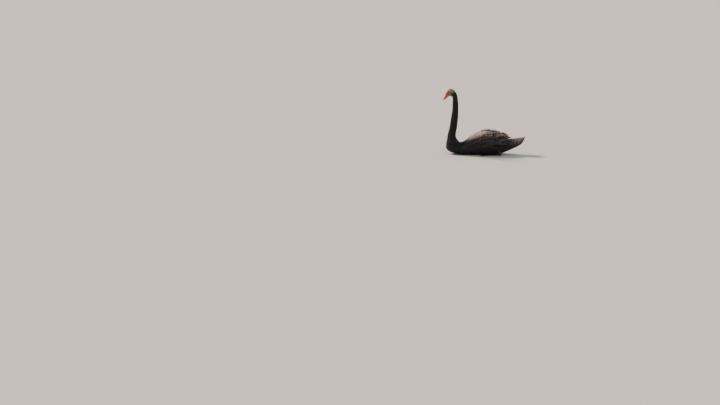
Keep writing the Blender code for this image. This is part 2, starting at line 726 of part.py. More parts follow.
def make_foot(side, finish, collection):
    """Three toes with claws and the web between them, flat on the floor."""
    root = Vector((TARSUS_FRONT_X - 0.006, side * LEG_Y, 0.0))
    toes, tips = [], []
    for degrees, length in TOE_FANS:
        heading = Vector((-math.cos(math.radians(degrees)), side * math.sin(math.radians(degrees)), 0.0))
        points = [root + heading * (length * share) + Vector((0, 0, TOE_RADIUS * size * TOE_SUNK))
                  for share, size in TOE_STEPS]
        toes.append(loft("toe", tube_rings(points, [TOE_RADIUS * size for _, size in TOE_STEPS], TOE_SIDES)))
        tips.append(root + heading * (length * WEB_REACH))
    webs = []
    for near, far in zip(tips, tips[1:]):
        rows = []
        for share in WEB_SHARES:
            a, b = root.lerp(near, share), root.lerp(far, share)
            top, under = Vector((0, 0, WEB_HEIGHT)), Vector((0, 0, WEB_HEIGHT - WEB_THICKNESS))
            left, right = (a, b) if side > 0 else (b, a)
            rows.append([left + top, right + top, right + under, left + under])
        webs.append(sheet("web", rows))
    palm = ball(root + PALM_OFFSET, PALM_SIZE, segments=10, rings=6)
    floor = box((-1, -1, -0.1), (1, 1, 0))
    behind = box((TARSUS_FRONT_X, -1, -1), (1, 1, 1))
    whole = combined(combined(palm, [*toes, *webs], "UNION"), [floor, behind], "DIFFERENCE")
    return new_object("foot_left" if side < 0 else "foot_right", whole, finish, collection)


def make_swan():
    for obj in list(bpy.data.objects):
        bpy.data.objects.remove(obj)
    swan = bpy.data.collections.new("black_swan")
    bpy.context.scene.collection.children.link(swan)
    plumage = material("black_plumage", BLACK, 0.75)
    horn = material("red_bill", RED, 0.35)
    iris = material("red_eye", EYE_RED, 0.08)
    scales = material("grey_leg_skin", LEG_GREY, 0.6)

    torso = new_object("torso", loft("torso", body_rings(BREAST_X, TAIL_X, FIRST_RINGS)), plumage, swan).data
    skin = grown(torso, GAP * 1.2)
    make_tail(skin, plumage, swan)
    base = neck_length("neck_lower", NECK_CUTS[2], NECK_PROFILE[-1][0], trim_low=False)
    new_object("neck_lower", combined(base, [skin], "DIFFERENCE"), plumage, swan)
    new_object("neck_middle", neck_length("neck_middle", NECK_CUTS[1], NECK_CUTS[2]), plumage, swan)
    new_object("neck_upper", neck_length("neck_upper", NECK_CUTS[0], NECK_CUTS[1]), plumage, swan)
    make_head(plumage, swan)
    make_bill(horn, swan)
    for side in (-1, 1):
        make_eye(side, iris, swan)
        make_wing(side, skin, plumage, swan)
        make_leg(side, skin, scales, swan)
        make_foot(side, scales, swan)


make_swan()
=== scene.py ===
"""Black swan at life size, resting on its belly in a floating pose, seen from its left side.

The swan faces -X and its left side is -Y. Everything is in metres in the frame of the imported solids.
"""

import itertools
import math
from bisect import bisect_right

import bmesh
import bpy
import numpy as np
from mathutils import Matrix, Vector
from mathutils.bvhtree import BVHTree


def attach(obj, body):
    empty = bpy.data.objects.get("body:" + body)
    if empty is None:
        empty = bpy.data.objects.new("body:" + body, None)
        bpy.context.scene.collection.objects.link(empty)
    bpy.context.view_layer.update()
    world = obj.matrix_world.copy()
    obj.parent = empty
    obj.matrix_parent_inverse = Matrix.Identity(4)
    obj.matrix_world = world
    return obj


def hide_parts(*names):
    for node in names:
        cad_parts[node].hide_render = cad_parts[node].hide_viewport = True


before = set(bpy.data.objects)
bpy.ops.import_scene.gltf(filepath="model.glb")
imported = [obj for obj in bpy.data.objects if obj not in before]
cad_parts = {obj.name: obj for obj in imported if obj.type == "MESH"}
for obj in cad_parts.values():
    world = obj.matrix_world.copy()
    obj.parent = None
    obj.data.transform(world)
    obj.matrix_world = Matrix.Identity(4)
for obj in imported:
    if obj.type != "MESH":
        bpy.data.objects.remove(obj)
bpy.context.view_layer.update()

# The skin. It is one soft bag over body, neck and head, and the feathers grow out of it in rows.
# It is rebuilt from the solids of flesh, run together so that no seam is left, and drawn in by the depth
# of the coat. Only the red lores, bare from the bill to the eye, are seen.
BREAST_X, TAIL_X, TAIL_CORE_END_X, BREAST_ROUND, WIDEST_LEVEL = -0.386, 0.262, 0.371, 0.060, 0.42
BODY_PROFILE = (  # how far back, underside, back, half width
    (BREAST_X, 0.030, 0.120, 0.064),
    (-0.345, 0.016, 0.126, 0.076),
    (-0.300, 0.007, 0.120, 0.088),
    (-0.250, 0.001, 0.114, 0.098),
    (-0.200, -0.0030, 0.128, 0.108),
    (-0.140, -0.0035, 0.163, 0.115),
    (-0.080, -0.0035, 0.192, 0.119),
    (0.000, -0.0035, 0.213, 0.120),
    (0.080, -0.0010, 0.206, 0.115),
    (0.150, 0.010, 0.180, 0.100),
    (0.210, 0.032, 0.160, 0.080),
    (TAIL_X, 0.056, 0.155, 0.062),
    (0.310, 0.082, 0.159, 0.056),
    (0.345, 0.108, 0.164, 0.062),
    (0.365, 0.136, 0.169, 0.060),
    (0.379, 0.169, 0.1735, 0.040),
)
NECK_LINE = (  # how high, how far back
    (0.601, -0.3240),
    (0.583, -0.3080),
    (0.545, -0.2945),
    (0.480, -0.2912),
    (0.406, -0.2935),
    (0.328, -0.3018),
    (0.250, -0.3118),
    (0.172, -0.3268),
    (0.112, -0.3165),
    (0.088, -0.3100),
    (0.068, -0.3040),
)
# The folded wing's pad: how thick it is along the body, and how many degrees down from the midline its upper
# and lower edges lie. It thins to a share down its side, half of that by an angle, and sits a little in the
# body.
WING_FRONT_X, WING_REAR_X = -0.195, 0.175
WING_PAD = ((WING_FRONT_X, 0.002), (-0.15, 0.008), (-0.10, 0.014), (-0.04, 0.019), (0.02, 0.020),
            (0.07, 0.019), (0.12, 0.016), (WING_REAR_X, 0.004))
WING_TOP_ANGLE = ((WING_FRONT_X, 52), (-0.17, 26), (-0.13, 6), (-0.09, 3), (0.30, 3))
WING_EDGE_ANGLE = ((WING_FRONT_X, 66), (-0.16, 78), (-0.08, 86), (0.02, 86), (0.10, 80), (WING_REAR_X, 60))
WING_THIN, WING_THIN_ANGLE, WING_IN_BODY = 0.42, 52, 0.012
PAD_ROWS, PAD_COLUMNS = 18, 12
HEAD_DIP = math.radians(52)
BILL_LENGTH = 0.072
BILL_TIP = Vector((-0.411, 0.0, 0.516))
FORWARD = Vector((-math.cos(HEAD_DIP), 0.0, -math.sin(HEAD_DIP)))
HEAD_UP = Vector((-math.sin(HEAD_DIP), 0.0, math.cos(HEAD_DIP)))
BILL_ROOT = BILL_TIP - FORWARD * BILL_LENGTH
HEAD_TURN = Matrix((-FORWARD, Vector((0.0, 1.0, 0.0)), HEAD_UP)).transposed().to_4x4()
HEAD_LEVEL = 0.53  # the head lies above this height
CROP_PLACE, CROP_SIZE = Vector((-0.3185, 0.0, 0.108)), (0.0640, 0.0655, 0.0520)  # fills neck to breast
TAIL_OVERLAP, TAIL_RINGS, TAIL_SIDES = 0.02, 10, 32
SKIN_VOXEL, EVEN_PASSES, CROP_PASSES, THROAT_SHARE, FACES_KEPT = 0.0022, 6, 140, 0.18, 0.45
BODY_COAT, NECK_COAT, HEAD_COAT = 0.0040, 0.0024, 0.0010  # how deep the feathers are
FLESH = ("torso", "neck_lower", "neck_middle", "neck_upper", "head")
# The unwrap of the skin has a strip for the body, one for the neck and one for the head: start and width.
BODY_STRIP, NECK_STRIP, HEAD_STRIP, STRIP_HIGH = (0.01, 0.61), (0.64, 0.22), (0.88, 0.11), 0.88
NECK_FROM, NECK_BEHIND, HEAD_FROM, FEATHER_PATCH = 0.125, -0.215, 0.535, 0.003


def smooth(rows):
    """A function through rows (t, value, ...) that doesn't overshoot them. One value gives a number."""
    times = [row[0] for row in rows]
    columns = list(zip(*[row[1:] for row in rows]))
    slopes = []
    for column in columns:
        rates = [(column[i + 1] - column[i]) / (times[i + 1] - times[i]) for i in range(len(times) - 1)]
        inner = [0 if a * b <= 0 else 2 * a * b / (a + b) for a, b in zip(rates, rates[1:])]
        slopes.append([rates[0], *inner, rates[-1]])

    def at(t):
        t = min(max(t, times[0]), times[-1])
        i = min(bisect_right(times, t), len(times) - 1) - 1
        span = times[i + 1] - times[i]
        u = (t - times[i]) / span
        found = []
        for column, slope in zip(columns, slopes):
            rise = (1 - u) ** 2 * (1 + 2 * u) * column[i] + u * u * (3 - 2 * u) * column[i + 1]
            found.append(rise + span * u * (1 - u) * ((1 - u) * slope[i] - u * slope[i + 1]))
        return found[0] if len(found) == 1 else found

    return at


def ease(low, high, value):
    """0 below low, 1 above high and a soft step between, for numbers and arrays."""
    share = np.clip((value - low) / (high - low), 0, 1)
    return share * share * (3 - 2 * share)


body_size = smooth(BODY_PROFILE)
wing_pad, wing_top, wing_edge = smooth(WING_PAD), smooth(WING_TOP_ANGLE), smooth(WING_EDGE_ANGLE)


def body_point(x, angle):
    """A point of the body's surface. The angle runs from the back over the right side to the underside."""
    low, top, half = body_size(x)
    ahead = min(max((x - BREAST_X) / BREAST_ROUND, 0.0), 1.0)
    swell = math.sqrt(1 - (1 - ahead) ** 2)
    level = low + (top - low) * WIDEST_LEVEL
    up = math.cos(angle)
    reach = (top - level if up > 0 else level - low) * swell
    return Vector((x, half * swell * math.sin(angle), max(level + reach * up, 0.0)))


def body_frame(x, angle, lift=0.0):
    """(point, outward normal, tailward direction, direction round the body) on the body's surface."""
    step = 0.002
    back = (body_point(x + step, angle) - body_point(x - step, angle)).normalized()
    around = (body_point(x, angle + step * 5) - body_point(x, angle - step * 5)).normalized()
    normal = around.cross(back).normalized()
    if normal.dot(Vector((0.0, math.sin(angle), math.cos(angle)))) < 0:
        normal.negate()
    return body_point(x, angle) + normal * lift, normal, back, around


def wing_side(angle):
    """How the wing thins from the back down its side, angle in degrees."""
    return WING_THIN + (1 - WING_THIN) / (1 + (max(angle, 0.0) / WING_THIN_ANGLE) ** 4)


def lofted(bm, rings):
    """Adds a closed form through rings of like point counts."""
    rows = [[bm.verts.new(point) for point in ring] for ring in rings]
    count = len(rows[0])
    for near, far in zip(rows, rows[1:]):
        for i in range(count):
            j = (i + 1) % count
            bm.faces.new((near[i], near[j], far[j], far[i]))
    bm.faces.new(rows[0][::-1])
    bm.faces.new(rows[-1])


def wing_core(side):
    """The pad of muscle and bone under one folded wing."""
    rings = []
    for row in range(PAD_ROWS + 1):
        x = WING_FRONT_X + (WING_REAR_X - WING_FRONT_X) * row / PAD_ROWS
        outer, inner = [], []
        for column in range(PAD_COLUMNS + 1):
            share = column / PAD_COLUMNS
            degrees = wing_top(x) + (wing_edge(x) - wing_top(x)) * share
            lift = wing_pad(x) * wing_side(degrees) * (1 - share**6) ** 0.5
            outer.append(body_frame(x, side * math.radians(degrees), lift)[0])
            inner.append(body_frame(x, side * math.radians(degrees), -WING_IN_BODY)[0])
        rings.append(outer + inner[::-1])
    return rings


def part_of_skin(point):
    """(share of neck, share of head) at points of the skin."""
    x, z = point[..., 0], point[..., 2]
    neck = ease(0.07, 0.27, z) * ease(-0.215, -0.245, x)
    return neck, ease(0.47, 0.585, z)


def finished(name, bm):
    """A piece of the scene from a bmesh, its faces turned outwards."""
    mesh = bpy.data.meshes.new(name)
    bmesh.ops.recalc_face_normals(bm, faces=bm.faces)
    bm.to_mesh(mesh)
    bm.free()
    obj = bpy.data.objects.new(name, mesh)
    bpy.context.scene.collection.objects.link(obj)
    return obj


def applied(obj):
    """Gives obj the mesh that its modifiers make."""
    bpy.context.view_layer.update()
    graph = bpy.context.evaluated_depsgraph_get()
    obj.data = bpy.data.meshes.new_from_object(obj.evaluated_get(graph))
    obj.modifiers.clear()


def points_of(mesh):
    """(places, normals) of a mesh's vertices as arrays."""
    places = np.zeros(len(mesh.vertices) * 3)
    normals = np.zeros(len(mesh.vertices) * 3)
    mesh.vertices.foreach_get("co", places)
    mesh.vertex_normals.foreach_get("vector", normals)
    return places.reshape(-1, 3), normals.reshape(-1, 3)


def unwrapped(points):
    """Where points of the skin lie on its unwrap: tail to breast, the neck and the head beside each other,
    each cut open along its hidden side. Points are grouped by face or by feather, and a group stays whole."""
    x, y, z = points[..., 0], points[..., 1], points[..., 2]
    middle = points.mean(axis=1, keepdims=True)
    mx, mz = middle[..., 0], middle[..., 2]
    on_neck = (mz > NECK_FROM) & (mx < NECK_BEHIND)
    on_head = mz > HEAD_FROM
    spine = np.interp(z, *zip(*sorted(NECK_LINE)))
    along = np.where(on_neck, (z - 0.10) / 0.46, (x + 0.40) / 0.80)
    around = np.where(on_neck, np.arctan2(y, -(x - spine)), np.arctan2(y, z - 0.085))
    back = (x - BILL_ROOT.x) * -FORWARD.x + (z - BILL_ROOT.z) * -FORWARD.z
    up = (x - BILL_ROOT.x) * HEAD_UP.x + (z - BILL_ROOT.z) * HEAD_UP.z
    along = np.where(on_head, (back + 0.03) / 0.15, along)
    around = np.where(on_head, np.arctan2(y, up), around)
    first = around[:, :1]
    around = around - 2 * math.pi * np.round((around - first) / (2 * math.pi))
    start, width = [np.where(on_head, head, np.where(on_neck, neck, body))
                    for head, neck, body in zip(HEAD_STRIP, NECK_STRIP, BODY_STRIP)]
    u = start + width * np.clip(along, 0, 1)
    v = 0.5 + around / (2 * math.pi) * STRIP_HIGH
    return np.stack([u, v], axis=-1)


# A collar of skin runs a little way forward under the root of the bill, so that no gap shows there.
BILL_ROOT_SIZE = (0.0275, 0.0112, 0.0148)  # depth above and below the mouth's line there, half width
MOUTH_ROOT, BILL_TAPER = -0.0065, 0.26
COLLAR, COLLAR_BACK, COLLAR_SIDES, COLLAR_SWELL, COLLAR_TAPER = 0.0034, 0.012, 40, 1.085, 0.077
bm = bmesh.new()
collar = []
for forward in (-COLLAR_BACK, -0.5 * COLLAR_BACK, 0.0, 0.5 * COLLAR, COLLAR):
    swell = COLLAR_SWELL - COLLAR_TAPER * max(forward, 0.0) / COLLAR
    ring = []
    for i in range(COLLAR_SIDES):
        a = 2 * math.pi * i / COLLAR_SIDES
        depth = BILL_ROOT_SIZE[0] - BILL_TAPER * max(forward, 0.0) if math.cos(a) > 0 else BILL_ROOT_SIZE[1]
        up = MOUTH_ROOT + depth * swell * math.cos(a) + 0.0003
        ring.append(BILL_ROOT + FORWARD * forward + HEAD_UP * up
                    + Vector((0.0, BILL_ROOT_SIZE[2] * swell * math.sin(a), 0.0)))
    collar.append(ring)
lofted(bm, collar)
made = bmesh.ops.create_uvsphere(bm, u_segments=40, v_segments=24, radius=1.0)["verts"]
crop_shape = Matrix.Translation(CROP_PLACE) @ Matrix.Diagonal((*CROP_SIZE, 1.0))
bmesh.ops.transform(bm, matrix=crop_shape, verts=made)
for node in FLESH:
    bm.from_mesh(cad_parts[node].data)
tail_step = (TAIL_CORE_END_X - TAIL_X + TAIL_OVERLAP) / (TAIL_RINGS - 1)
tail_rings = []
for i in range(TAIL_RINGS):
    x = TAIL_X - TAIL_OVERLAP + tail_step * i
    tail_rings.append([body_point(x, 2 * math.pi * j / TAIL_SIDES) for j in range(TAIL_SIDES)])
lofted(bm, tail_rings)
for side in (-1, 1):
    lofted(bm, wing_core(side))
skin = finished("skin", bm)
fused = skin.modifiers.new("fused", "REMESH")
fused.mode = "VOXEL"
fused.voxel_size = SKIN_VOXEL
even = skin.modifiers.new("even", "SMOOTH")
even.iterations = EVEN_PASSES
applied(skin)
places, _ = points_of(skin.data)
high = places[:, 2]
crop = ease(0.030, 0.060, high) * (1 - ease(0.18, 0.25, high)) * ease(-0.22, -0.25, places[:, 0])
throat = ease(0.490, 0.515, high) * (1 - ease(0.535, 0.550, high))
crop = np.maximum(crop, THROAT_SHARE * throat)
group = skin.vertex_groups.new(name="crop")
for number in np.nonzero(crop > 0.01)[0].tolist():
    group.add([number], float(crop[number]), "REPLACE")
full = skin.modifiers.new("full", "SMOOTH")
full.iterations, full.vertex_group = CROP_PASSES, "crop"
applied(skin)
places, normals = points_of(skin.data)
neck_share, head_share = part_of_skin(places)
depth = BODY_COAT + (NECK_COAT - BODY_COAT) * neck_share + (HEAD_COAT - NECK_COAT) * head_share
depth *= ease(0.0, 0.012, places[:, 2])  # none is taken off the flat under the belly or beside the bill
beside_bill = ease(0.004, 0.012, -((places - np.array(BILL_ROOT)) @ np.array(FORWARD)))
depth *= beside_bill ** (places[:, 2] > HEAD_LEVEL)
places -= normals * depth[:, None]
skin.data.vertices.foreach_set("co", places.ravel())
skin.data.update()
skin.data.shade_smooth()
lighter = skin.modifiers.new("lighter", "DECIMATE")
lighter.ratio = FACES_KEPT
applied(skin)
places, _ = points_of(skin.data)


def linear(colour):
    """The linear colour, with alpha, of an sRGB hex value such as "8a7f69"."""
    parts = [int(colour[i:i + 2], 16) / 255 for i in (0, 2, 4)]
    return (*[c / 12.92 if c <= 0.04045 else ((c + 0.055) / 1.055) ** 2.4 for c in parts], 1.0)


def add(tree, kind, inputs=None, **settings):
    """Adds a shader node with its settings, and sets its inputs or links them to the sockets given."""
    node = tree.nodes.new("ShaderNode" + kind)
    for name, value in settings.items():
        setattr(node, name, value)
    for socket, value in (inputs or {}).items():
        if isinstance(value, bpy.types.NodeSocket):
            tree.links.new(value, node.inputs[socket])
        else:
            node.inputs[socket].default_value = value
    return node


def new_material(name):
    """(material, its tree, its Principled shader)."""
    made = bpy.data.materials.new(name)
    made.use_nodes = True
    return made, made.node_tree, made.node_tree.nodes["Principled BSDF"]


# Skin is matt and dark under the feathers. The bare lores are smooth, waxy and red like the bill's root, with
# fine creases about 0.8 mm apart, and the line of the mouth runs a little way into them as a dark painted
# line:
# painted shade for the slit at the mouth's corner.
LORES_RED, LORES_DARK, MOUTH_SLIT_SHADE, SKIN_DARK = "b5352b", "8f211a", "3a0d0a", "17130f"
CREASE, MOTTLE, MOUTH_SLOPE = 0.0008, 0.006, 0.22
bare_skin, tree, shader = new_material("swan_skin")
place = add(tree, "TexCoord").outputs["Object"]
bare = add(tree, "Attribute", attribute_name="bare").outputs["Fac"]
creases = add(tree, "TexNoise", {"Vector": place, "Scale": 1 / CREASE, "Detail": 2.0}).outputs["Fac"]
mottled = add(tree, "TexNoise", {"Vector": place, "Scale": 1 / MOTTLE}).outputs["Fac"]
red = add(tree, "Mix", {0: mottled, 6: linear(LORES_DARK), 7: linear(LORES_RED)}, data_type="RGBA").outputs[2]
# The mouth's line is painted dark a little way into the lores: painted shade for the slit of the mouth.
from_root = add(tree, "VectorMath", {0: place, 1: BILL_ROOT}, operation="SUBTRACT").outputs[0]
high = add(tree, "VectorMath", {0: from_root, 1: HEAD_UP}, operation="DOT_PRODUCT").outputs["Value"]
ahead = add(tree, "VectorMath", {0: from_root, 1: FORWARD}, operation="DOT_PRODUCT").outputs["Value"]
bend = add(tree, "Math", {0: ahead, 1: MOUTH_SLOPE, 2: MOUTH_ROOT}, operation="MULTIPLY_ADD").outputs[0]
apart = add(tree, "Math", {0: high, 1: bend}, operation="SUBTRACT").outputs[0]
apart = add(tree, "Math", {0: apart}, operation="ABSOLUTE").outputs[0]
near = add(tree, "MapRange",
           {"Value": apart, "From Min": 0.0002, "From Max": 0.0006, "To Min": 1, "To Max": 0})
reach = add(tree, "MapRange", {"Value": ahead, "From Min": -0.0110, "From Max": -0.0080})
gape = add(tree, "Math", {0: near.outputs[0], 1: reach.outputs[0]}, operation="MULTIPLY").outputs[0]
lined = add(tree, "Mix", {0: gape, 6: red, 7: linear(MOUTH_SLIT_SHADE)}, data_type="RGBA").outputs[2]
tint = add(tree, "Mix", {0: bare, 6: linear(SKIN_DARK), 7: lined}, data_type="RGBA").outputs[2]
tree.links.new(tint, shader.inputs["Base Color"])
rough = add(tree, "MapRange", {"Value": bare, "To Min": 0.8, "To Max": 0.42}).outputs["Result"]
tree.links.new(rough, shader.inputs["Roughness"])
bump = add(tree, "Bump", {"Height": creases, "Strength": 0.35, "Distance": 0.0003}).outputs["Normal"]
tree.links.new(bump, shader.inputs["Normal"])
skin.data.materials.clear()
skin.data.materials.append(bare_skin)

# The lores reach from the root of the bill to the front of the eye in a wedge.
EYE_BACK, EYE_UP, EYE_RADIUS, EYE_SUNK = 0.0265, 0.0085, 0.0062, 0.0042
LORES_UP, LORES_HALF, LORES_NARROWING = 0.0010, 0.0150, 0.0118


def bareness(points, margin=0.0):
    """How bare the skin is at points: 1 on the lores and within a margin round them, 0 under the coat."""
    away = points - np.array(BILL_ROOT)
    back = -(away @ np.array(FORWARD))
    up = away @ np.array(HEAD_UP)
    share = np.clip(back / (EYE_BACK - 0.004), 0, 1)
    middle = LORES_UP + share * (EYE_UP - LORES_UP)
    reach = LORES_HALF - LORES_NARROWING * share**0.75 + margin
    wedge = 1 - ease(reach - 0.0006, reach + 0.0004, np.abs(up - middle))
    wedge = wedge * (1 - ease(EYE_BACK - 0.003 + margin, EYE_BACK - 0.001 + margin, back))
    front = 1 - ease(0.0006 + margin, 0.0016 + margin, back)
    return np.maximum(wedge, front) * (np.abs(up) < 0.030) * (points[:, 2] > HEAD_LEVEL)


def give_attribute(mesh, name, values):
    """A number on each vertex, for a material to read."""
    made = mesh.attributes.new(name, "FLOAT", "POINT")
    made.data.foreach_set("value", np.asarray(values, np.float32))


def give_map(mesh, name, corners):
    """A UV map from one place for each face corner."""
    made = mesh.uv_layers.new(name=name)
    made.data.foreach_set("uv", np.asarray(corners, np.float32).ravel())


give_attribute(skin.data, "bare", bareness(places, 0.0030))
faces = [list(face.vertices) for face in skin.data.polygons]
longest = max(len(face) for face in faces)
padded_faces = np.array([face + face[-1:] * (longest - len(face)) for face in faces])
by_face = unwrapped(places[padded_faces])
corners = np.concatenate([by_face[i, :len(face)] for i, face in enumerate(faces)])
give_map(skin.data, "OFBake", corners)
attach(skin, "root")
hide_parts(*FLESH, "tail", "wing_left", "wing_right")

# Contour feathers of body, neck and head. Each has a curved vane on a thin shaft, grows from the skin over
# the roots of the next and lies away from the bill. They are longest on the flanks, short and velvety on the
# neck, and smallest on the face.
SPACING = {"body": 0.0078, "neck": 0.0034, "head": 0.0020}
# A feather's length, its half width, and how far its tip stands off the skin, as multiples of its spacing.
LENGTHS = {"body": 3.9, "neck": 4.6, "head": 4.4}
HALVES = {"body": 0.95, "neck": 0.84, "head": 0.86}
LIFTS = {"body": 0.36, "neck": 0.32, "head": 0.34}
THICKNESS_OF_SPACING, SUNK, CLOSEST = 0.055, 0.02, 0.86
VELVET_STEPS = ((0, 0.55), (0.45, 1.0), (0.80, 0.76), (1, 0.14))  # share of length, share of width
CONTOUR_STEPS = {
    "body": ((0, 0.45), (0.35, 0.92), (0.68, 1.0), (0.90, 0.72), (1, 0.20)),
    "neck": VELVET_STEPS,
    "head": VELVET_STEPS,
}
BREAST_END = -0.08  # the coat of the body is made as two pieces, breast and rump, that part here
COAT_END, COAT_END_ABOVE = 0.322, 0.230  # behind these only the tail's own feathers grow
ROOT_TRIES, SEED = 150000, 7
random = np.random.default_rng(SEED)
tree_of_skin = BVHTree.FromPolygons([tuple(p) for p in places], faces)


def spacing_at(points):
    """How far apart feathers grow at points."""
    neck, head = part_of_skin(points)
    size = SPACING["body"] + (SPACING["neck"] - SPACING["body"]) * neck
    back = -((points - np.array(BILL_ROOT)) @ np.array(FORWARD))
    face = 1 - 0.30 * (1 - ease(0.0, 0.03, back)) * (points[:, 2] > HEAD_LEVEL)
    breast = 1 - 0.25 * ease(-0.26, -0.36, points[:, 0]) * (1 - neck)
    return (size + (SPACING["head"] - size) * head) * face * breast


def roots_on_skin(number):
    """Points of the skin that keep a feather's spacing from each other, with that spacing."""
    skin.data.calc_loop_triangles()
    corner = np.array([t.vertices for t in skin.data.loop_triangles])
    a, b, c = places[corner[:, 0]], places[corner[:, 1]], places[corner[:, 2]]
    weight = np.linalg.norm(np.cross(b - a, c - a), axis=1) / spacing_at((a + b + c) / 3) ** 2
    chosen = random.choice(len(corner), number, p=weight / weight.sum())
    s, t = random.random(number), random.random(number)
    s, t = np.where(s + t > 1, 1 - s, s), np.where(s + t > 1, 1 - t, t)
    points = a[chosen] + (b - a)[chosen] * s[:, None] + (c - a)[chosen] * t[:, None]
    sizes = spacing_at(points)
    cell = SPACING["body"]
    taken, kept = {}, []
    for i, (point, size) in enumerate(zip(points.tolist(), sizes.tolist())):
        x, y, z = (math.floor(value / cell) for value in point)
        cells_near = itertools.product((x - 1, x, x + 1), (y - 1, y, y + 1), (z - 1, z, z + 1))
        near = (taken.get(other_cell, ()) for other_cell in cells_near)
        if all(math.dist(point, other) > size * CLOSEST for group in near for other in group):
            taken.setdefault((x, y, z), []).append(point)
            kept.append(i)
    return points[kept], sizes[kept]


def lie(point):
    """The direction in which feathers lie at a point of the skin: away from the bill, down the neck and
    towards the tail."""
    x, z = point[0], point[2]
    tailward = Vector((1.0, 0.0, float(ease(0.330, 0.365, x) - 0.9 * ease(-0.25, -0.38, x))))
    down = Vector((0.0, 0.0, -1.0))
    share = float(ease(0.10, 0.17, z) * ease(-0.19, -0.23, x))
    flow = tailward.lerp(down, share)
    if z > 0.50:
        away = (Vector(point) - BILL_ROOT - HEAD_UP * 0.004).normalized()
        crown = float(ease(-0.368, -0.295, x) * ease(0.545, 0.560, z))
        away = away.lerp(down, crown)
        flow = flow.lerp(away, float(ease(0.50, 0.55, z)))
    return flow


def laid(root, length, steps, chance):
    """Rows (place, normal, across) of a feather that follows the skin from its root."""
    point, normal, _, _ = tree_of_skin.find_nearest(root)
    heading = lie(point)
    heading = heading + heading.cross(normal) * chance
    rows, done = [], 0.0
    for share, _ in steps:
        heading = (heading - normal * heading.dot(normal)).normalized()
        if share > done:
            near = tree_of_skin.find_nearest(point + heading * (share - done) * length)
            point, normal = near[0], near[1]
            done = share
            heading = (heading - normal * heading.dot(normal)).normalized()
        rows.append((*point, *normal, *heading.cross(normal)))
    return rows


def feather_piece(name, finish, rows, halves, lifts, thickness, steps, roots, attributes,
                  columns=3, camber=0.13, ragged=0.0, ruffle=0.0):
    """One mesh of many feathers, each a closed vane that is thickest along its shaft.
    rows holds a place, a normal and a direction across for each step of each feather."""
    rows = np.asarray(rows)
    count, length = rows.shape[:2]
    middle, normal, across = [rows[..., None, 3 * i:3 * i + 3] for i in range(3)]
    reach = halves[:, None] * np.array([width for _, width in steps])
    share = np.array([value for value, _ in steps])
    top = np.linspace(-1, 1, columns)
    t = np.concatenate([top, top[-2:0:-1]])
    below = np.concatenate([np.zeros(columns), 1 - top[-2:0:-1] ** 2])
    wide = reach[..., None] * (1 - ragged * random.random((count, length, len(t))) * np.abs(t) ** 3)
    wave = np.sin(2 * math.pi * (1.3 * share[None, :] + random.random((count, 1)))) * share * ruffle
    height = lifts[..., None] + reach[..., None] * (wave[..., None] * t - camber * t**2)
    height = height - np.minimum(thickness, reach * 0.5)[..., None] * below
    points = middle + across * (wide * t)[..., None] + normal * height[..., None]
    points[..., 2] = np.maximum(points[..., 2], 0.0003)
    around = len(t)
    ring = np.arange(around)
    base = (np.arange(count)[:, None, None] * length + np.arange(length - 1)[None, :, None]) * around
    following = (ring + 1) % around
    above = base + around
    quads = np.stack([base + ring, base + following, above + following, above + ring], axis=-1).reshape(-1)
    ends = np.arange(count)[:, None] * length * around
    caps = np.concatenate([ends + ring[::-1], ends + (length - 1) * around + ring]).reshape(-1)
    corner = np.concatenate([quads, caps])
    mesh = bpy.data.meshes.new(name)
    mesh.vertices.add(count * length * around)
    mesh.vertices.foreach_set("co", points.ravel())
    mesh.loops.add(len(corner))
    mesh.loops.foreach_set("vertex_index", corner)
    mesh.polygons.add(len(quads) // 4 + 2 * count)
    starts = np.concatenate([np.arange(0, len(quads), 4), len(quads) + np.arange(0, len(caps), around)])
    mesh.polygons.foreach_set("loop_start", starts)
    mesh.update(calc_edges=True)
    mesh.shade_smooth()
    vane = np.zeros((count, length, around, 2))
    vane[..., 0] = (t + 1) / 2
    vane[..., 1] = share[None, :, None]
    patch = unwrapped(np.asarray(roots)[:, None, :])[:, :, None, :] + (vane - 0.5) * FEATHER_PATCH
    give_map(mesh, "OFBake", patch.reshape(-1, 2)[corner])
    give_map(mesh, "Vane", vane.reshape(-1, 2)[corner])
    for attribute, values in attributes.items():
        give_attribute(mesh, attribute, np.repeat(values, length * around))
    mesh.materials.append(finish)
    obj = bpy.data.objects.new(name, mesh)
    bpy.context.scene.collection.objects.link(obj)
    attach(obj, "root")
    return obj


# The third colour is the vane under painted sunlight; the fringe is paler from wear and paler still from
# painted sunlight.
SOOTY = ("080708", "1a161c", "c9aa99", "e4ccbd")  # shaft, vane, painted sunlit vane, fringe
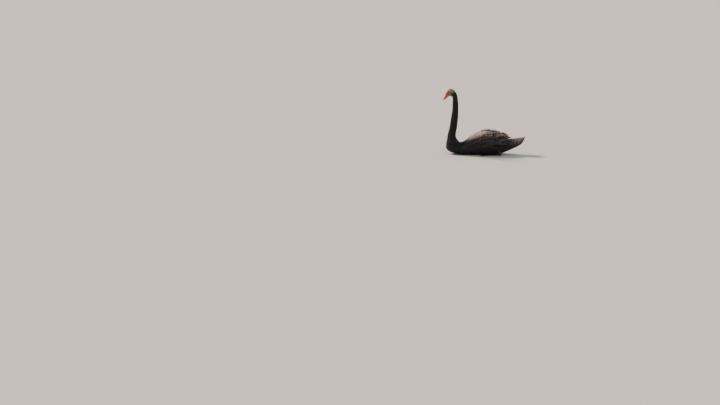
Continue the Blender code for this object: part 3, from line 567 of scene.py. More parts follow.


def vane_material(name, colours, barbs, roughness, sheen, relief):
    """Feather keratin, matt from its barbs, with a darker shaft, a paler worn fringe and a soft sheen. Where
    the attribute pale is high the vane carries painted sunlight, and the fringe is paler from wear and
    painted sunlight.
    barbs is how many are drawn along a vane, relief how high they stand. Air between them lowers the IOR."""
    dark, fresh, painted_sunlight, fringe = [linear(colour) for colour in colours]
    made, tree, shader = new_material(name)
    vane = add(tree, "UVMap", uv_map="Vane").outputs[0]
    parts = add(tree, "SeparateXYZ", {0: vane})
    across = add(tree, "Math", {0: parts.outputs[0], 1: 0.5}, operation="SUBTRACT").outputs[0]
    edge = add(tree, "Math", {0: across}, operation="ABSOLUTE").outputs[0]
    along = parts.outputs[1]
    slant = add(tree, "Math", {0: edge, 1: -1.1, 2: along}, operation="MULTIPLY_ADD").outputs[0]
    turns = add(tree, "Math", {0: slant, 1: barbs * 2 * math.pi}, operation="MULTIPLY").outputs[0]
    barb = add(tree, "Math", {0: turns}, operation="SINE").outputs[0]
    shaft = add(tree, "MapRange",
                {"Value": edge, "From Min": 0.015, "From Max": 0.05, "To Min": 1.0, "To Max": 0.0})
    side = add(tree, "MapRange", {"Value": edge, "From Min": 0.33, "From Max": 0.5})
    end = add(tree, "MapRange", {"Value": along, "From Min": 0.80, "From Max": 0.99})
    rim = add(tree, "Math", {0: side.outputs[0], 1: end.outputs[0]}, operation="MAXIMUM").outputs[0]
    place = add(tree, "TexCoord").outputs["Object"]
    blotch = add(tree, "TexNoise", {"Vector": place, "Scale": 1 / 0.018, "Detail": 3.0}).outputs["Fac"]
    tone = add(tree, "Attribute", attribute_name="tone").outputs["Fac"]
    pale = add(tree, "Attribute", attribute_name="pale").outputs["Fac"]
    varied = add(tree, "Math", {0: tone, 1: blotch}, operation="MULTIPLY").outputs[0]
    # pale lifts the share of the light colour and turns it to the sunlit colour: painted sunlight on the
    # whole vane.
    least = add(tree, "Math", {0: pale, 1: 0.25, 2: 0.2}, operation="MULTIPLY_ADD").outputs[0]
    share = add(tree, "Math", {0: varied, 1: 0.8, 2: least}, operation="MULTIPLY_ADD").outputs[0]
    lit = add(tree, "Math", {0: barb, 1: 0.08, 2: share}, operation="MULTIPLY_ADD").outputs[0]
    light = add(tree, "Mix", {0: pale, 6: fresh, 7: painted_sunlight}, data_type="RGBA").outputs[2]
    body = add(tree, "Mix", {0: lit, 6: dark, 7: light}, data_type="RGBA").outputs[2]
    # pale also paints the fringe: paler from wear, and brighter where painted sunlight falls.
    sunlight_and_wear = add(tree, "Math", {0: pale, 1: 2.4}, operation="MULTIPLY", use_clamp=True).outputs[0]
    worn_and_sunlit_rim = add(tree, "Math", {0: rim, 1: sunlight_and_wear}, operation="MULTIPLY").outputs[0]
    fringed = add(tree, "Mix", {0: worn_and_sunlit_rim, 6: body, 7: fringe}, data_type="RGBA").outputs[2]
    tint = add(tree, "Mix", {0: shaft.outputs[0], 6: fringed, 7: dark}, data_type="RGBA").outputs[2]
    tree.links.new(tint, shader.inputs["Base Color"])
    rough = add(tree, "Math", {0: varied, 1: 0.18, 2: roughness}, operation="MULTIPLY_ADD").outputs[0]
    tree.links.new(rough, shader.inputs["Roughness"])
    ridge = add(tree, "Math", {0: shaft.outputs[0], 1: 2.0, 2: barb}, operation="MULTIPLY_ADD").outputs[0]
    bump = add(tree, "Bump", {"Height": ridge, "Strength": 0.6, "Distance": relief}).outputs["Normal"]
    tree.links.new(bump, shader.inputs["Normal"])
    shader.inputs["IOR"].default_value = 1.36
    shader.inputs["Sheen Weight"].default_value = sheen
    shader.inputs["Sheen Roughness"].default_value = 0.45
    shader.inputs["Sheen Tint"].default_value = linear("bdb6b8")
    return made


# Barbs are bundled by damp and wear into strands about 1 mm apart on the body and 0.7 mm on the head.
contour_finish = {
    "body": vane_material("black_contour_feather", SOOTY, 30, 0.58, 0.04, 0.00015),
    "neck": vane_material("black_neck_velvet", SOOTY, 16, 0.62, 0.04, 0.0001),
    "head": vane_material("brown_black_head_velvet", SOOTY, 12, 0.62, 0.05, 0.0001),
}


def painted_sunlight_and_wear(points):
    """How pale a feather is painted: the top of the mantle, the crown and some of the cheek, where painted
    sunlight falls, with the mantle's worn fringes besides; little below.
    """
    x, z = points[:, 0], points[:, 2]
    mantle = ease(-0.24, -0.17, x) * ease(0.11, 0.16, z) * (1 - 0.9 * ease(0.05, 0.12, x))
    crown = ease(0.586, 0.622, z) * ease(-0.285, -0.335, x)
    cheek = 0.65 * ease(0.540, 0.575, z) * ease(-0.318, -0.362, x)
    return 0.01 + 0.85 * np.maximum(mantle, np.maximum(crown, cheek))


EYE_CLEAR, EYE_SIDE = 0.0050, 0.022  # feathers keep this far from the middle of the eye
eyes = [np.array(BILL_ROOT - FORWARD * EYE_BACK + HEAD_UP * EYE_UP + Vector((0.0, side * EYE_SIDE, 0.0)))
        for side in (-1, 1)]


def from_eye(points):
    """How far points are from the nearer eye."""
    return np.min([np.linalg.norm(points - eye, axis=-1) for eye in eyes], axis=0)


roots, sizes = roots_on_skin(ROOT_TRIES)
coat_end = COAT_END + (COAT_END_ABOVE - COAT_END) * ease(0.115, 0.130, roots[:, 2])
grown = (bareness(roots) <= 0.4) & (from_eye(roots) > EYE_CLEAR) & (roots[:, 0] < coat_end)
roots, sizes = roots[grown], sizes[grown]
neck_share, head_share = part_of_skin(roots)
region = np.where(head_share > 0.5, "head", np.where(neck_share > 0.5, "neck", "body"))
in_front = roots[:, 0] < BREAST_END
pieces = (
    ("breast", "body", (region == "body") & in_front),
    ("rump", "body", (region == "body") & ~in_front),
    ("neck", "neck", region == "neck"),
    ("head", "head", region == "head"),
)
for piece, part, mine in pieces:
    steps = CONTOUR_STEPS[part]
    count = int(mine.sum())
    room = np.clip((from_eye(roots[mine]) - EYE_CLEAR) / 0.004, 0.35, 1)
    lengths = sizes[mine] * LENGTHS[part] * room * random.uniform(0.85, 1.15, count)
    turns = random.normal(0.0, 0.10, count)
    rows = np.array([laid(Vector(p), size, steps, t) for p, size, t in zip(roots[mine], lengths, turns)])
    clear = from_eye(rows[:, :, 0:3]).min(axis=1) > EYE_CLEAR
    rows, spacing, bases = rows[clear], sizes[mine][clear], roots[mine][clear]
    count = len(rows)
    halves = spacing * HALVES[part] * random.uniform(0.88, 1.12, count)
    shares = np.array([value for value, _ in steps])
    ends = spacing * LIFTS[part] * random.uniform(0.7, 1.2, count)
    lifts = ends[:, None] * shares - SUNK * spacing[:, None]
    thickness = THICKNESS_OF_SPACING * spacing[:, None]
    looks = {"tone": random.uniform(0.2, 0.8, count), "pale": painted_sunlight_and_wear(bases)}
    feather_piece(f"coat_{piece}", contour_finish[part], rows, halves, lifts, thickness, steps, bases, looks)

# Folded wings. Flight feathers and their coverts lie in tiers along the back, each tier over the roots of the
# one behind. The tertials and scapulars curl up at their ends in soft waves over the white primaries.
WING_COAT = ((WING_FRONT_X, 0.005), (-0.15, 0.012), (-0.10, 0.018), (-0.04, 0.023), (0.02, 0.024),
             (0.07, 0.023), (0.12, 0.023), (0.17, 0.023), (0.21, 0.018), (0.24, 0.012), (0.30, 0.010))
MIDLINE = 0.0010  # the feathers of a wing keep this far on their own side
# Each tier's name and count. Then, for its first and its last feather, how far back the root lies, its angle
# down from the midline, the turn downwards and the length. Then the half width, and for both again the pitch
# off the wing at the root and at the tip.
WING_TIERS = (
    ("primary", 6, (0.088, 0.055), (39, 52), (-5, -8), (0.134, 0.124), 0.0105, (1, 1), (2, 3)),
    ("secondary", 13, (0.088, -0.100), (60, 81), (2, 4), (0.116, 0.098), 0.0150, (2, 3), (4, 6)),
    ("greater_covert", 14, (0.078, -0.128), (50, 68), (4, 6), (0.082, 0.062), 0.0150, (3, 3), (6, 9)),
    ("median_covert", 14, (0.046, -0.145), (40, 57), (5, 8), (0.066, 0.050), 0.0145, (3, 4), (8, 12)),
    ("tertial_low", 11, (0.114, 0.034), (30, 60), (2, 0), (0.128, 0.108), 0.0170, (3, 5), (7, 12)),
    ("tertial", 11, (0.104, 0.020), (11, 40), (0, 3), (0.120, 0.098), 0.0155, (2, 5), (26, 48)),
    ("scapular_low", 9, (0.045, -0.058), (22, 36), (2, 8), (0.080, 0.064), 0.0145, (5, 6), (28, 44)),
    ("scapular_top", 10, (0.096, -0.068), (8.5, 11), (0, 2), (0.084, 0.066), 0.0130, (4, 5), (28, 44)),
)
# Lesser coverts grow on each wing, and the mantle between the wings, in staggered rows: how far apart the
# rows are and the feathers in a row, a feather's length and half width in the first row and in the last, its
# pitches and its turn. Then where the rows begin and end, along the body and down from the midline.
SMALL_ROW, SMALL_ACROSS = 0.0112, 0.0104
SMALL_LENGTHS, SMALL_HALVES, SMALL_PITCHES, SMALL_TURN = (0.026, 0.045), (0.0072, 0.0110), (4, 9), 0.12
LESSER_FROM, LESSER_TO, MANTLE_FROM, MANTLE_TO = -0.212, 0.024, -0.232, 0.110
LESSER_EDGE = ((-0.212, 64), (-0.14, 64), (-0.08, 56), (0.03, 46))
MANTLE_EDGE = ((-0.232, 30), (-0.17, 40), (-0.13, 16), (0.11, 9))
LONG_STEPS = ((0, 0.45), (0.07, 0.64), (0.15, 0.80), (0.25, 0.91), (0.36, 0.98), (0.48, 1.0), (0.60, 1.0),
              (0.70, 0.985), (0.78, 0.95), (0.84, 0.89), (0.89, 0.80), (0.93, 0.68), (0.96, 0.54),
              (0.98, 0.39), (0.993, 0.23), (1, 0.10))
LONG_THICKNESS, LONG_SUNK = 0.0006, 0.0030
wing_coat, lesser_edge, mantle_edge = smooth(WING_COAT), smooth(LESSER_EDGE), smooth(MANTLE_EDGE)


def wing_frame(x, angle, lift=0.0):
    """As body_frame, on the surface that the folded wing's feathers lie along."""
    return body_frame(x, angle, wing_coat(x) * wing_side(abs(math.degrees(angle))) + lift)


def small_frame(x, angle, lift=0.0):
    """As wing_frame, running out over the shoulder in front of the wing."""
    cover = wing_coat(x) * wing_side(abs(math.degrees(angle))) * float(ease(-0.235, -0.155, x))
    return body_frame(x, angle, cover + 0.0010 + lift)


def spread(surface, x, degrees, turn, length, pitches, side, bend):
    """Rows of one long feather that leaves its surface at the first pitch and ends at the second."""
    rows, lift, travelled = [], -LONG_SUNK, 0.0
    heading = math.radians(turn)
    angle = math.radians(degrees) * (side or 1)
    for share, _ in LONG_STEPS:
        pitch = math.radians(pitches[0] + (pitches[1] - pitches[0]) * share**3)
        step = length * share - travelled
        travelled += step
        heading += math.radians(bend) * step / length
        along = step * math.cos(pitch)
        lift += step * math.sin(pitch)
        x += along * math.cos(heading)
        point, normal, back, around = surface(x, angle, lift)
        radius = max(math.hypot(point.y, point.z - 0.1), 0.05)
        angle += along * math.sin(heading) * (side or 1) / radius
        lean = back * math.cos(pitch) + normal * math.sin(pitch)
        upper = around.cross(lean).normalized()
        upper = -upper if upper.dot(normal) < 0 else upper
        rows.append((*point, *upper, *around))
    return rows


def tier_of(count, *ranges):
    """For each feather of a tier: distance back, angle, turn, length, pitch at its root and at its tip."""
    shares = np.linspace(0, 1, count)
    return [[first + (last - first) * share for first, last in ranges] for share in shares]


def small_rows(first, last, from_angle, to_angle):
    """The same for staggered rows of small feathers, each with its half width and its paleness: worn fringes
    and painted sunlight, highest near the midline at the front of the back.
    """
    plan = []
    count = round((last - first) / SMALL_ROW)
    for row in range(count + 1):
        share = row / count
        x = first + (last - first) * share
        step = math.degrees(SMALL_ACROSS / (0.75 * body_size(x)[2] + 0.028)) * (1 + 0.25 * share)
        degrees = from_angle(x) + step * (0.3 + 0.5 * (row % 2))
        while degrees < to_angle(x):
            length = SMALL_LENGTHS[0] + (SMALL_LENGTHS[1] - SMALL_LENGTHS[0]) * share
            half = SMALL_HALVES[0] + (SMALL_HALVES[1] - SMALL_HALVES[0]) * share
            # Feathers near the midline towards the front are paler: painted sunlight on the top of the back,
            # with wear.
            pale = 0.02 + 0.84 * float((1 - ease(28, 47, abs(degrees))) * ease(-0.215, -0.150, x))
            plan.append([x, degrees, degrees * SMALL_TURN, length, *SMALL_PITCHES, half, pale])
            degrees += step
    return np.array(plan)


def long_feathers(name, finish, plan, halves, pales, surface, side, ruffle):
    """One piece of long feathers laid by a plan, each a little different from its neighbours."""
    count, made = len(plan), []
    for x, degrees, turn, length, start, end in plan:
        length *= random.uniform(0.92, 1.04)
        end *= random.uniform(0.72, 1.12)
        x += random.uniform(-0.004, 0.004)
        turn += random.uniform(-3.0, 3.0)
        made.append(spread(surface, x, degrees, turn, length, (start, end), side, random.uniform(-7, 7)))
    rows = np.array(made)
    looks = {"tone": random.random(count), "pale": pales * random.uniform(0.75, 1.0, count)}
    halves = halves * random.uniform(0.9, 1.1, count)
    lifts = np.zeros((count, len(LONG_STEPS)))
    obj = feather_piece(name, finish, rows, halves, lifts, LONG_THICKNESS, LONG_STEPS, rows[:, 0, 0:3],
                        looks, columns=7, camber=0.16, ragged=0.05, ruffle=ruffle)
    if side:
        places, _ = points_of(obj.data)
        places[:, 1] = side * np.maximum(side * places[:, 1], MIDLINE)
        obj.data.vertices.foreach_set("co", places.ravel())
        obj.data.update()


# Wing feathers are smooth and a little glossy, sooty black with pale worn fringes, paler on the upper tiers
# with painted sunlight. The primaries are unpigmented keratin, white and satiny.
WHITE = ("c9c5bd", "eeeae2", "f4f1ea", "f7f5ef")
flight_black = vane_material("sooty_flight_feather", SOOTY, 120, 0.48, 0.05, 0.0002)
covert_black = vane_material("fringed_covert_feather", SOOTY, 56, 0.52, 0.08, 0.0002)
curly_black = vane_material("curled_tertial_feather", SOOTY, 100, 0.50, 0.08, 0.0002)
white_vane = vane_material("white_primary_feather", WHITE, 120, 0.48, 0.05, 0.0002)
TIER_LOOKS = {  # finish, how strongly the edges wave, how pale: worn fringes and painted sunlight
    "primary": (white_vane, 0.0, 0.2),
    "secondary": (flight_black, 0.05, 0.03),
    "greater_covert": (covert_black, 0.08, 0.05),
    "median_covert": (covert_black, 0.08, 0.08),
    "tertial_low": (curly_black, 0.22, 0.06),
    "tertial": (curly_black, 0.55, 0.12),
    "scapular_low": (curly_black, 0.45, 0.12),
    "scapular_top": (curly_black, 0.45, 0.32),
}
for side, word in ((-1, "left"), (1, "right")):
    for name, count, xs, angles, turns, lengths, half, pitches, curls in WING_TIERS:
        finish, ruffle, pale = TIER_LOOKS[name]
        plan = tier_of(count, xs, angles, turns, lengths, pitches, curls)
        long_feathers(f"wing_{word}_{name}", finish, plan, half, pale, wing_frame, side, ruffle)
    lesser = small_rows(LESSER_FROM, LESSER_TO, lambda x: max(wing_top(x), 4.0), lesser_edge)
    long_feathers(f"wing_{word}_lesser_covert", covert_black, lesser[:, :6], lesser[:, 6], lesser[:, 7],
                  small_frame, side, 0.06)
mantle = small_rows(MANTLE_FROM, MANTLE_TO, lambda x: -mantle_edge(x), mantle_edge)
long_feathers("mantle", covert_black, mantle[:, :6], mantle[:, 6], mantle[:, 7], small_frame, 0, 0.06)

# Flank feathers are broad, soft and black. They rise from the side of the breast over the lower edge of the
# folded wing and hide the front of its rows.
FLANK_TIERS = (
    ("flank_top", 17, (-0.216, -0.010), (60, 80), (-3, -2), (0.034, 0.056), 0.0120, (3, 3), (5, 6)),
    ("flank_high", 19, (-0.222, 0.014), (66, 86), (-3, -2), (0.036, 0.060), 0.0120, (3, 3), (5, 6)),
    ("flank_middle", 20, (-0.228, 0.036), (74, 93), (-4, -3), (0.038, 0.064), 0.0125, (3, 3), (5, 6)),
    ("flank_low", 21, (-0.234, 0.074), (83, 101), (-4, -4), (0.040, 0.066), 0.0130, (3, 3), (5, 6)),
)
flank_black = vane_material("soft_flank_feather", SOOTY, 60, 0.58, 0.04, 0.0002)


def flank_frame(x, angle, lift=0.0):
    """As wing_frame, just over the wing's lower edge, and on the body below it."""
    below = float(ease(84, 96, abs(math.degrees(angle))))
    cover = wing_coat(x) * wing_side(abs(math.degrees(angle))) * (1 - below) + 0.0025
    return body_frame(x, angle, cover * float(ease(-0.23, -0.17, x)) + lift)


for side, word in ((-1, "left"), (1, "right")):
    for name, count, xs, angles, turns, lengths, half, pitches, curls in FLANK_TIERS:
        plan = tier_of(count, xs, angles, turns, lengths, pitches, curls)
        halves = half * np.linspace(0.70, 1.05, count)
        long_feathers(f"{name}_{word}", flank_black, plan, halves, 0.01, flank_frame, side, 0.04)

# Tail. Stiff rectrices fan out flat from the rump and close round its end, with coverts over and under their
# roots.
TAIL_TIERS = (  # as for the wings, with how much shorter the feathers at both sides are
    ("rectrix", 15, 0.272, (-86, 86), (-4, 4), 0.106, 0.0120, 2, 2, 0.16),
    ("rectrix_low", 15, 0.271, (96, 264), (3, -3), 0.109, 0.0150, 2, 1, 0.16),
    ("rectrix_end", 17, 0.314, (84, 276), (2, -2), 0.066, 0.0130, 1, 1, 0.06),
    ("upper_covert", 14, 0.268, (-82, 82), (-3, 3), 0.078, 0.0120, 4, 15, 0.30),
    ("upper_covert_front", 13, 0.244, (-76, 76), (-3, 3), 0.064, 0.0115, 4, 15, 0.30),
    ("upper_covert_rump", 12, 0.218, (-68, 68), (-3, 3), 0.056, 0.0110, 4, 13, 0.30),
    ("under_covert", 13, 0.266, (98, 262), (3, -3), 0.086, 0.0135, 4, 3, 0.30),
)
RECTRIX_LOOKS, UPPER_COVERT_LOOKS = (flight_black, 0.08, 0.05), (curly_black, 0.25, 0.13)
for name, count, x, angles, turns, length, half, pitch, curl, shorter in TAIL_TIERS:
    finish, ruffle, pale = UPPER_COVERT_LOOKS if name.startswith("upper") else RECTRIX_LOOKS
    plan = tier_of(count, (x, x), angles, turns, (length, length), (pitch, pitch), (curl, curl))
    for number, feather in enumerate(plan):
        feather[3] *= 1 - shorter * (2 * number / (count - 1) - 1) ** 2
    long_feathers(f"tail_{name}", finish, plan, half, pale, body_frame, 0, ruffle)

# Bill. Two horn sheaths over bone, waxy and bright red, that part along the mouth's line. The upper has the
# nostrils, a pale band near its end and a pale nail that hooks over the tip.
LOWER_LENGTH = 0.0665
MOUTH_LINE = ((0.0, MOUTH_ROOT), (0.020, -0.0075), (0.045, -0.0062), (0.062, -0.0045), (BILL_LENGTH, -0.0052))
UPPER_BILL = (  # forward of the root, depth from the mouth's line, half width
    (0.000, 0.0275, 0.0148),
    (0.014, 0.0238, 0.0140),
    (0.030, 0.0188, 0.0128),
    (0.046, 0.0152, 0.0123),
    (0.058, 0.0130, 0.0120),
    (0.065, 0.0110, 0.0102),
    (0.070, 0.0076, 0.0066),
    (BILL_LENGTH, 0.0042, 0.0032),
)
LOWER_BILL = (
    (0.000, 0.0112, 0.0130),
    (0.018, 0.0082, 0.0116),
    (0.038, 0.0058, 0.0105),
    (0.054, 0.0044, 0.0098),
    (0.062, 0.0032, 0.0078),
    (LOWER_LENGTH, 0.0018, 0.0040),
)
GAP = 0.0003
NOSTRIL_AT, NOSTRIL_UP, NOSTRIL_LENGTH, NOSTRIL_HEIGHT, NOSTRIL_DEPTH = 0.031, 0.0075, 0.0100, 0.0030, 0.0020
NAIL_BACK, NAIL_UP, NAIL_SIZE = 0.0062, 0.0026, (0.0068, 0.0058, 0.0052)
BILL_STEPS, BILL_SIDES = 150, 72
FLARE, FLARE_REACH = 0.0011, 0.0062  # how far the sheath swells to meet the skin at its root, and how far on
mouth_line, upper_size, lower_size = smooth(MOUTH_LINE), smooth(UPPER_BILL), smooth(LOWER_BILL)


def head_point(back, side, up):
    """A place on the head, from its distance behind the bill's root, to the right and above the axis."""
    return BILL_ROOT - FORWARD * back + Vector((0.0, side, 0.0)) + HEAD_UP * up


def mandible(name, size, length, side, relief):
    """A closed half-oval loft above (side 1) or below (side -1) the mouth's line, with a relief pushed in."""
    bm = bmesh.new()
    rings = []
    for step in range(BILL_STEPS + 1):
        forward = length * (1 - (1 - step / BILL_STEPS) ** 1.25)
        depth, half = size(forward)
        base = mouth_line(forward) + side * GAP / 2
        ring = []
        for i in range(BILL_SIDES + 1):
            a = math.pi * i / BILL_SIDES
            high = depth * math.sin(a) ** 0.85
            inward = relief(forward, high, a) - FLARE * math.exp(-((forward / FLARE_REACH) ** 2))
            ring.append(head_point(-forward - GAP, (half - inward) * math.cos(a),
                                   base + side * (high - inward * math.sin(a))))
        inner = [head_point(-forward - GAP, half * 0.9 * (2 * j / 5 - 1), base) for j in range(1, 5)]
        rings.append(ring + inner)
    lofted(bm, rings)
    obj = finished(name, bm)
    obj.data.shade_smooth()
    obj.data.set_sharp_from_angle(angle=math.radians(50))
    return obj


def upper_relief(forward, high, a):
    """How far the upper sheath is pushed in: at the nostrils, above its cutting edge and behind the nail."""
    along, up = (forward - NOSTRIL_AT) / (NOSTRIL_LENGTH / 2), (high - NOSTRIL_UP) / (NOSTRIL_HEIGHT / 2)
    pit = NOSTRIL_DEPTH * math.exp(-((along**2 + up**2) ** 2) * 0.9)
    groove = 0.0004 * math.exp(-(((high - 0.0020) / 0.0007) ** 2)) * float(ease(0.004, 0.012, forward))
    nail = 0.0005 * math.exp(-(((forward - (BILL_LENGTH - 0.0125)) / 0.0011) ** 2)) * math.sin(a)
    return pit + groove + nail


def lower_relief(forward, high, a):
    """The same for the lower sheath, which has only the groove along its edge."""
    return 0.0004 * math.exp(-(((high - 0.0016) / 0.0006) ** 2))


upper = mandible("bill_upper_sheath", upper_size, BILL_LENGTH - GAP, 1, upper_relief)
lower = mandible("bill_lower_sheath", lower_size, LOWER_LENGTH, -1, lower_relief)
bm = bmesh.new()
bmesh.ops.create_uvsphere(bm, u_segments=40, v_segments=24, radius=1.0)
for vertex in bm.verts:
    x, y, z = vertex.co
    hook = 0.0014 * max(-x, 0.0) ** 2
    flat = 1 - 0.18 * max(z, 0.0)
    vertex.co = HEAD_TURN @ Vector((x * NAIL_SIZE[0], y * NAIL_SIZE[1] * flat, z * NAIL_SIZE[2] - hook))
    vertex.co += head_point(-BILL_LENGTH + NAIL_BACK, 0.0, mouth_line(BILL_LENGTH) + NAIL_UP)
nail = finished("bill_nail", bm)
nail.data.shade_smooth()

# Bill horn: IOR 1.54, waxy and cloudy, with wavy growth marks about 2 mm across. Its pale band and pale end
# are set by how far forward a place is, as a share of the bill's length.
bill_horn, tree, shader = new_material("red_bill_horn")
place = add(tree, "TexCoord").outputs["Object"]
forward = add(tree, "Attribute", attribute_name="forward").outputs["Fac"]
pit = add(tree, "Attribute", attribute_name="pit").outputs["Fac"]
growth = add(tree, "TexNoise", {"Vector": place, "Scale": 1 / 0.0022, "Detail": 3.0, "Distortion": 0.6})
growth = growth.outputs[0]
cloudy = add(tree, "TexNoise", {"Vector": place, "Scale": 1 / 0.011, "Detail": 2.0}).outputs["Fac"]
deep = add(tree, "Mix", {0: cloudy, 6: linear("9c1f18"), 7: linear("cc453a")}, data_type="RGBA").outputs[2]
wavy = add(tree, "Math", {0: cloudy, 1: 0.03, 2: forward}, operation="MULTIPLY_ADD").outputs[0]
rise = add(tree, "MapRange", {"Value": wavy, "From Min": 0.745, "From Max": 0.775}).outputs[0]
fall = add(tree, "MapRange",
           {"Value": wavy, "From Min": 0.855, "From Max": 0.880, "To Min": 1.0, "To Max": 0.0})
band = add(tree, "Math", {0: rise, 1: fall.outputs[0]}, operation="MULTIPLY").outputs[0]
banded = add(tree, "Mix", {0: band, 6: deep, 7: linear("e6d2c6")}, data_type="RGBA").outputs[2]
end = add(tree, "MapRange", {"Value": forward, "From Min": 0.91, "From Max": 0.97, "To Max": 0.85}).outputs[0]
tipped = add(tree, "Mix", {0: end, 6: banded, 7: linear("e3c8b9")}, data_type="RGBA").outputs[2]
# The nostrils are painted near black: painted shade for their openings, which the sheath only dents.
tint = add(tree, "Mix", {0: pit, 6: tipped, 7: linear("2a0806")}, data_type="RGBA").outputs[2]
tree.links.new(tint, shader.inputs["Base Color"])
rough = add(tree, "MapRange", {"Value": growth, "To Min": 0.26, "To Max": 0.44}).outputs[0]
tree.links.new(rough, shader.inputs["Roughness"])
bump = add(tree, "Bump", {"Height": growth, "Strength": 0.25, "Distance": 0.0003}).outputs["Normal"]
tree.links.new(bump, shader.inputs["Normal"])
shader.inputs["IOR"].default_value = 1.54
shader.inputs["Coat Weight"].default_value = 0.25
shader.inputs["Coat Roughness"].default_value = 0.22
for obj, nodes in ((upper, ("bill_upper",)), (lower, ("bill_lower",)), (nail, ())):
    places, _ = points_of(obj.data)
    away = places - np.array(BILL_ROOT)
    ahead, high = away @ np.array(FORWARD), away @ np.array(HEAD_UP) - mouth_line(NOSTRIL_AT) - NOSTRIL_UP
    slit = ((ahead - NOSTRIL_AT) / (NOSTRIL_LENGTH / 2)) ** 2 + (high / (NOSTRIL_HEIGHT / 2)) ** 2
    give_attribute(obj.data, "forward", ahead / BILL_LENGTH)
    give_attribute(obj.data, "pit", (1 - ease(0.25, 0.9, slit)) * (np.abs(places[:, 1]) > 0.004))
    obj.data.materials.append(bill_horn)
    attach(obj, "root")
    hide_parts(*nodes)

# Eyes. Each ball sits deep in the head with only its front bare: a black pupil in a crimson iris under a
# clear wet coat. A thin rim of lid closes round it, a little longer than high and heavier above.
SKULL_PROFILE = (  # behind the bill's root, low, top, half width
    (0.000, -0.0175, 0.0222, 0.0150),
    (0.010, -0.0205, 0.0240, 0.0175),
    (0.022, -0.0232, 0.0252, 0.0205),
    (0.036, -0.0248, 0.0258, 0.0230),
    (0.048, -0.0245, 0.0240, 0.0236),
)
BALL_RINGS, BALL_SIDES, CORNEA_DOME = 36, 48, 0.05
PUPIL_EDGE, IRIS_EDGE = (0.138, 0.150), (0.235, 0.27)  # as shares of the way round the ball from its front
LID_RADIUS, LID_THICKNESS, LID_SUNK, LID_LONG, LID_HEAVY = 0.0049, 0.0007, 0.0006, 1.17, 0.45
LID_STEPS, LID_SIDES = 72, 16
skull_size = smooth(SKULL_PROFILE)


def skull_side(back, up):
    """Half width of the skull at a distance back and a height on the head."""
    low, top, half = skull_size(back)
    middle, reach = (low + top) / 2, (top - low) / 2
    return half * math.sqrt(max(0.0, 1 - ((up - middle) / reach) ** 2))


def eye_socket(side):
    """(middle of the eyeball, turn that lays local Y along the skin's outward normal there)."""
    step = 0.001
    along = (skull_side(EYE_BACK + step, EYE_UP) - skull_side(EYE_BACK - step, EYE_UP)) / (2 * step)
    rise = (skull_side(EYE_BACK, EYE_UP + step) - skull_side(EYE_BACK, EYE_UP - step)) / (2 * step)
    normal = Vector((-along, side, -rise)).normalized()
    back = Vector((1.0, side * along, 0.0)).normalized()
    turn = HEAD_TURN @ Matrix((back, normal, back.cross(normal))).transposed().to_4x4()
    place = head_point(EYE_BACK, side * skull_side(EYE_BACK, EYE_UP), EYE_UP)
    return place - turn.to_3x3() @ Vector((0.0, EYE_SUNK, 0.0)), turn


iris, tree, shader = new_material("crimson_iris_under_cornea")
out = add(tree, "Attribute", attribute_name="out").outputs["Fac"]
place = add(tree, "TexCoord").outputs["Object"]
flecks = add(tree, "TexNoise", {"Vector": place, "Scale": 1 / 0.0006, "Detail": 3.0}).outputs["Fac"]
red = add(tree, "Mix", {0: flecks, 6: linear("6a0d09"), 7: linear("c62a1b")}, data_type="RGBA").outputs[2]
open_iris = add(tree, "MapRange", {"Value": out, 1: PUPIL_EDGE[0], 2: PUPIL_EDGE[1]}).outputs[0]
pupil = add(tree, "Mix", {0: open_iris, 6: linear("050404"), 7: red}, data_type="RGBA").outputs[2]
edge = add(tree, "MapRange", {"Value": out, 1: IRIS_EDGE[0], 2: IRIS_EDGE[1]}).outputs[0]
tint = add(tree, "Mix", {0: edge, 6: pupil, 7: linear("240605")}, data_type="RGBA").outputs[2]
tree.links.new(tint, shader.inputs["Base Color"])
shader.inputs["Roughness"].default_value = 0.35
shader.inputs["IOR"].default_value = 1.20
shader.inputs["Coat Weight"].default_value = 1.0
shader.inputs["Coat Roughness"].default_value = 0.02

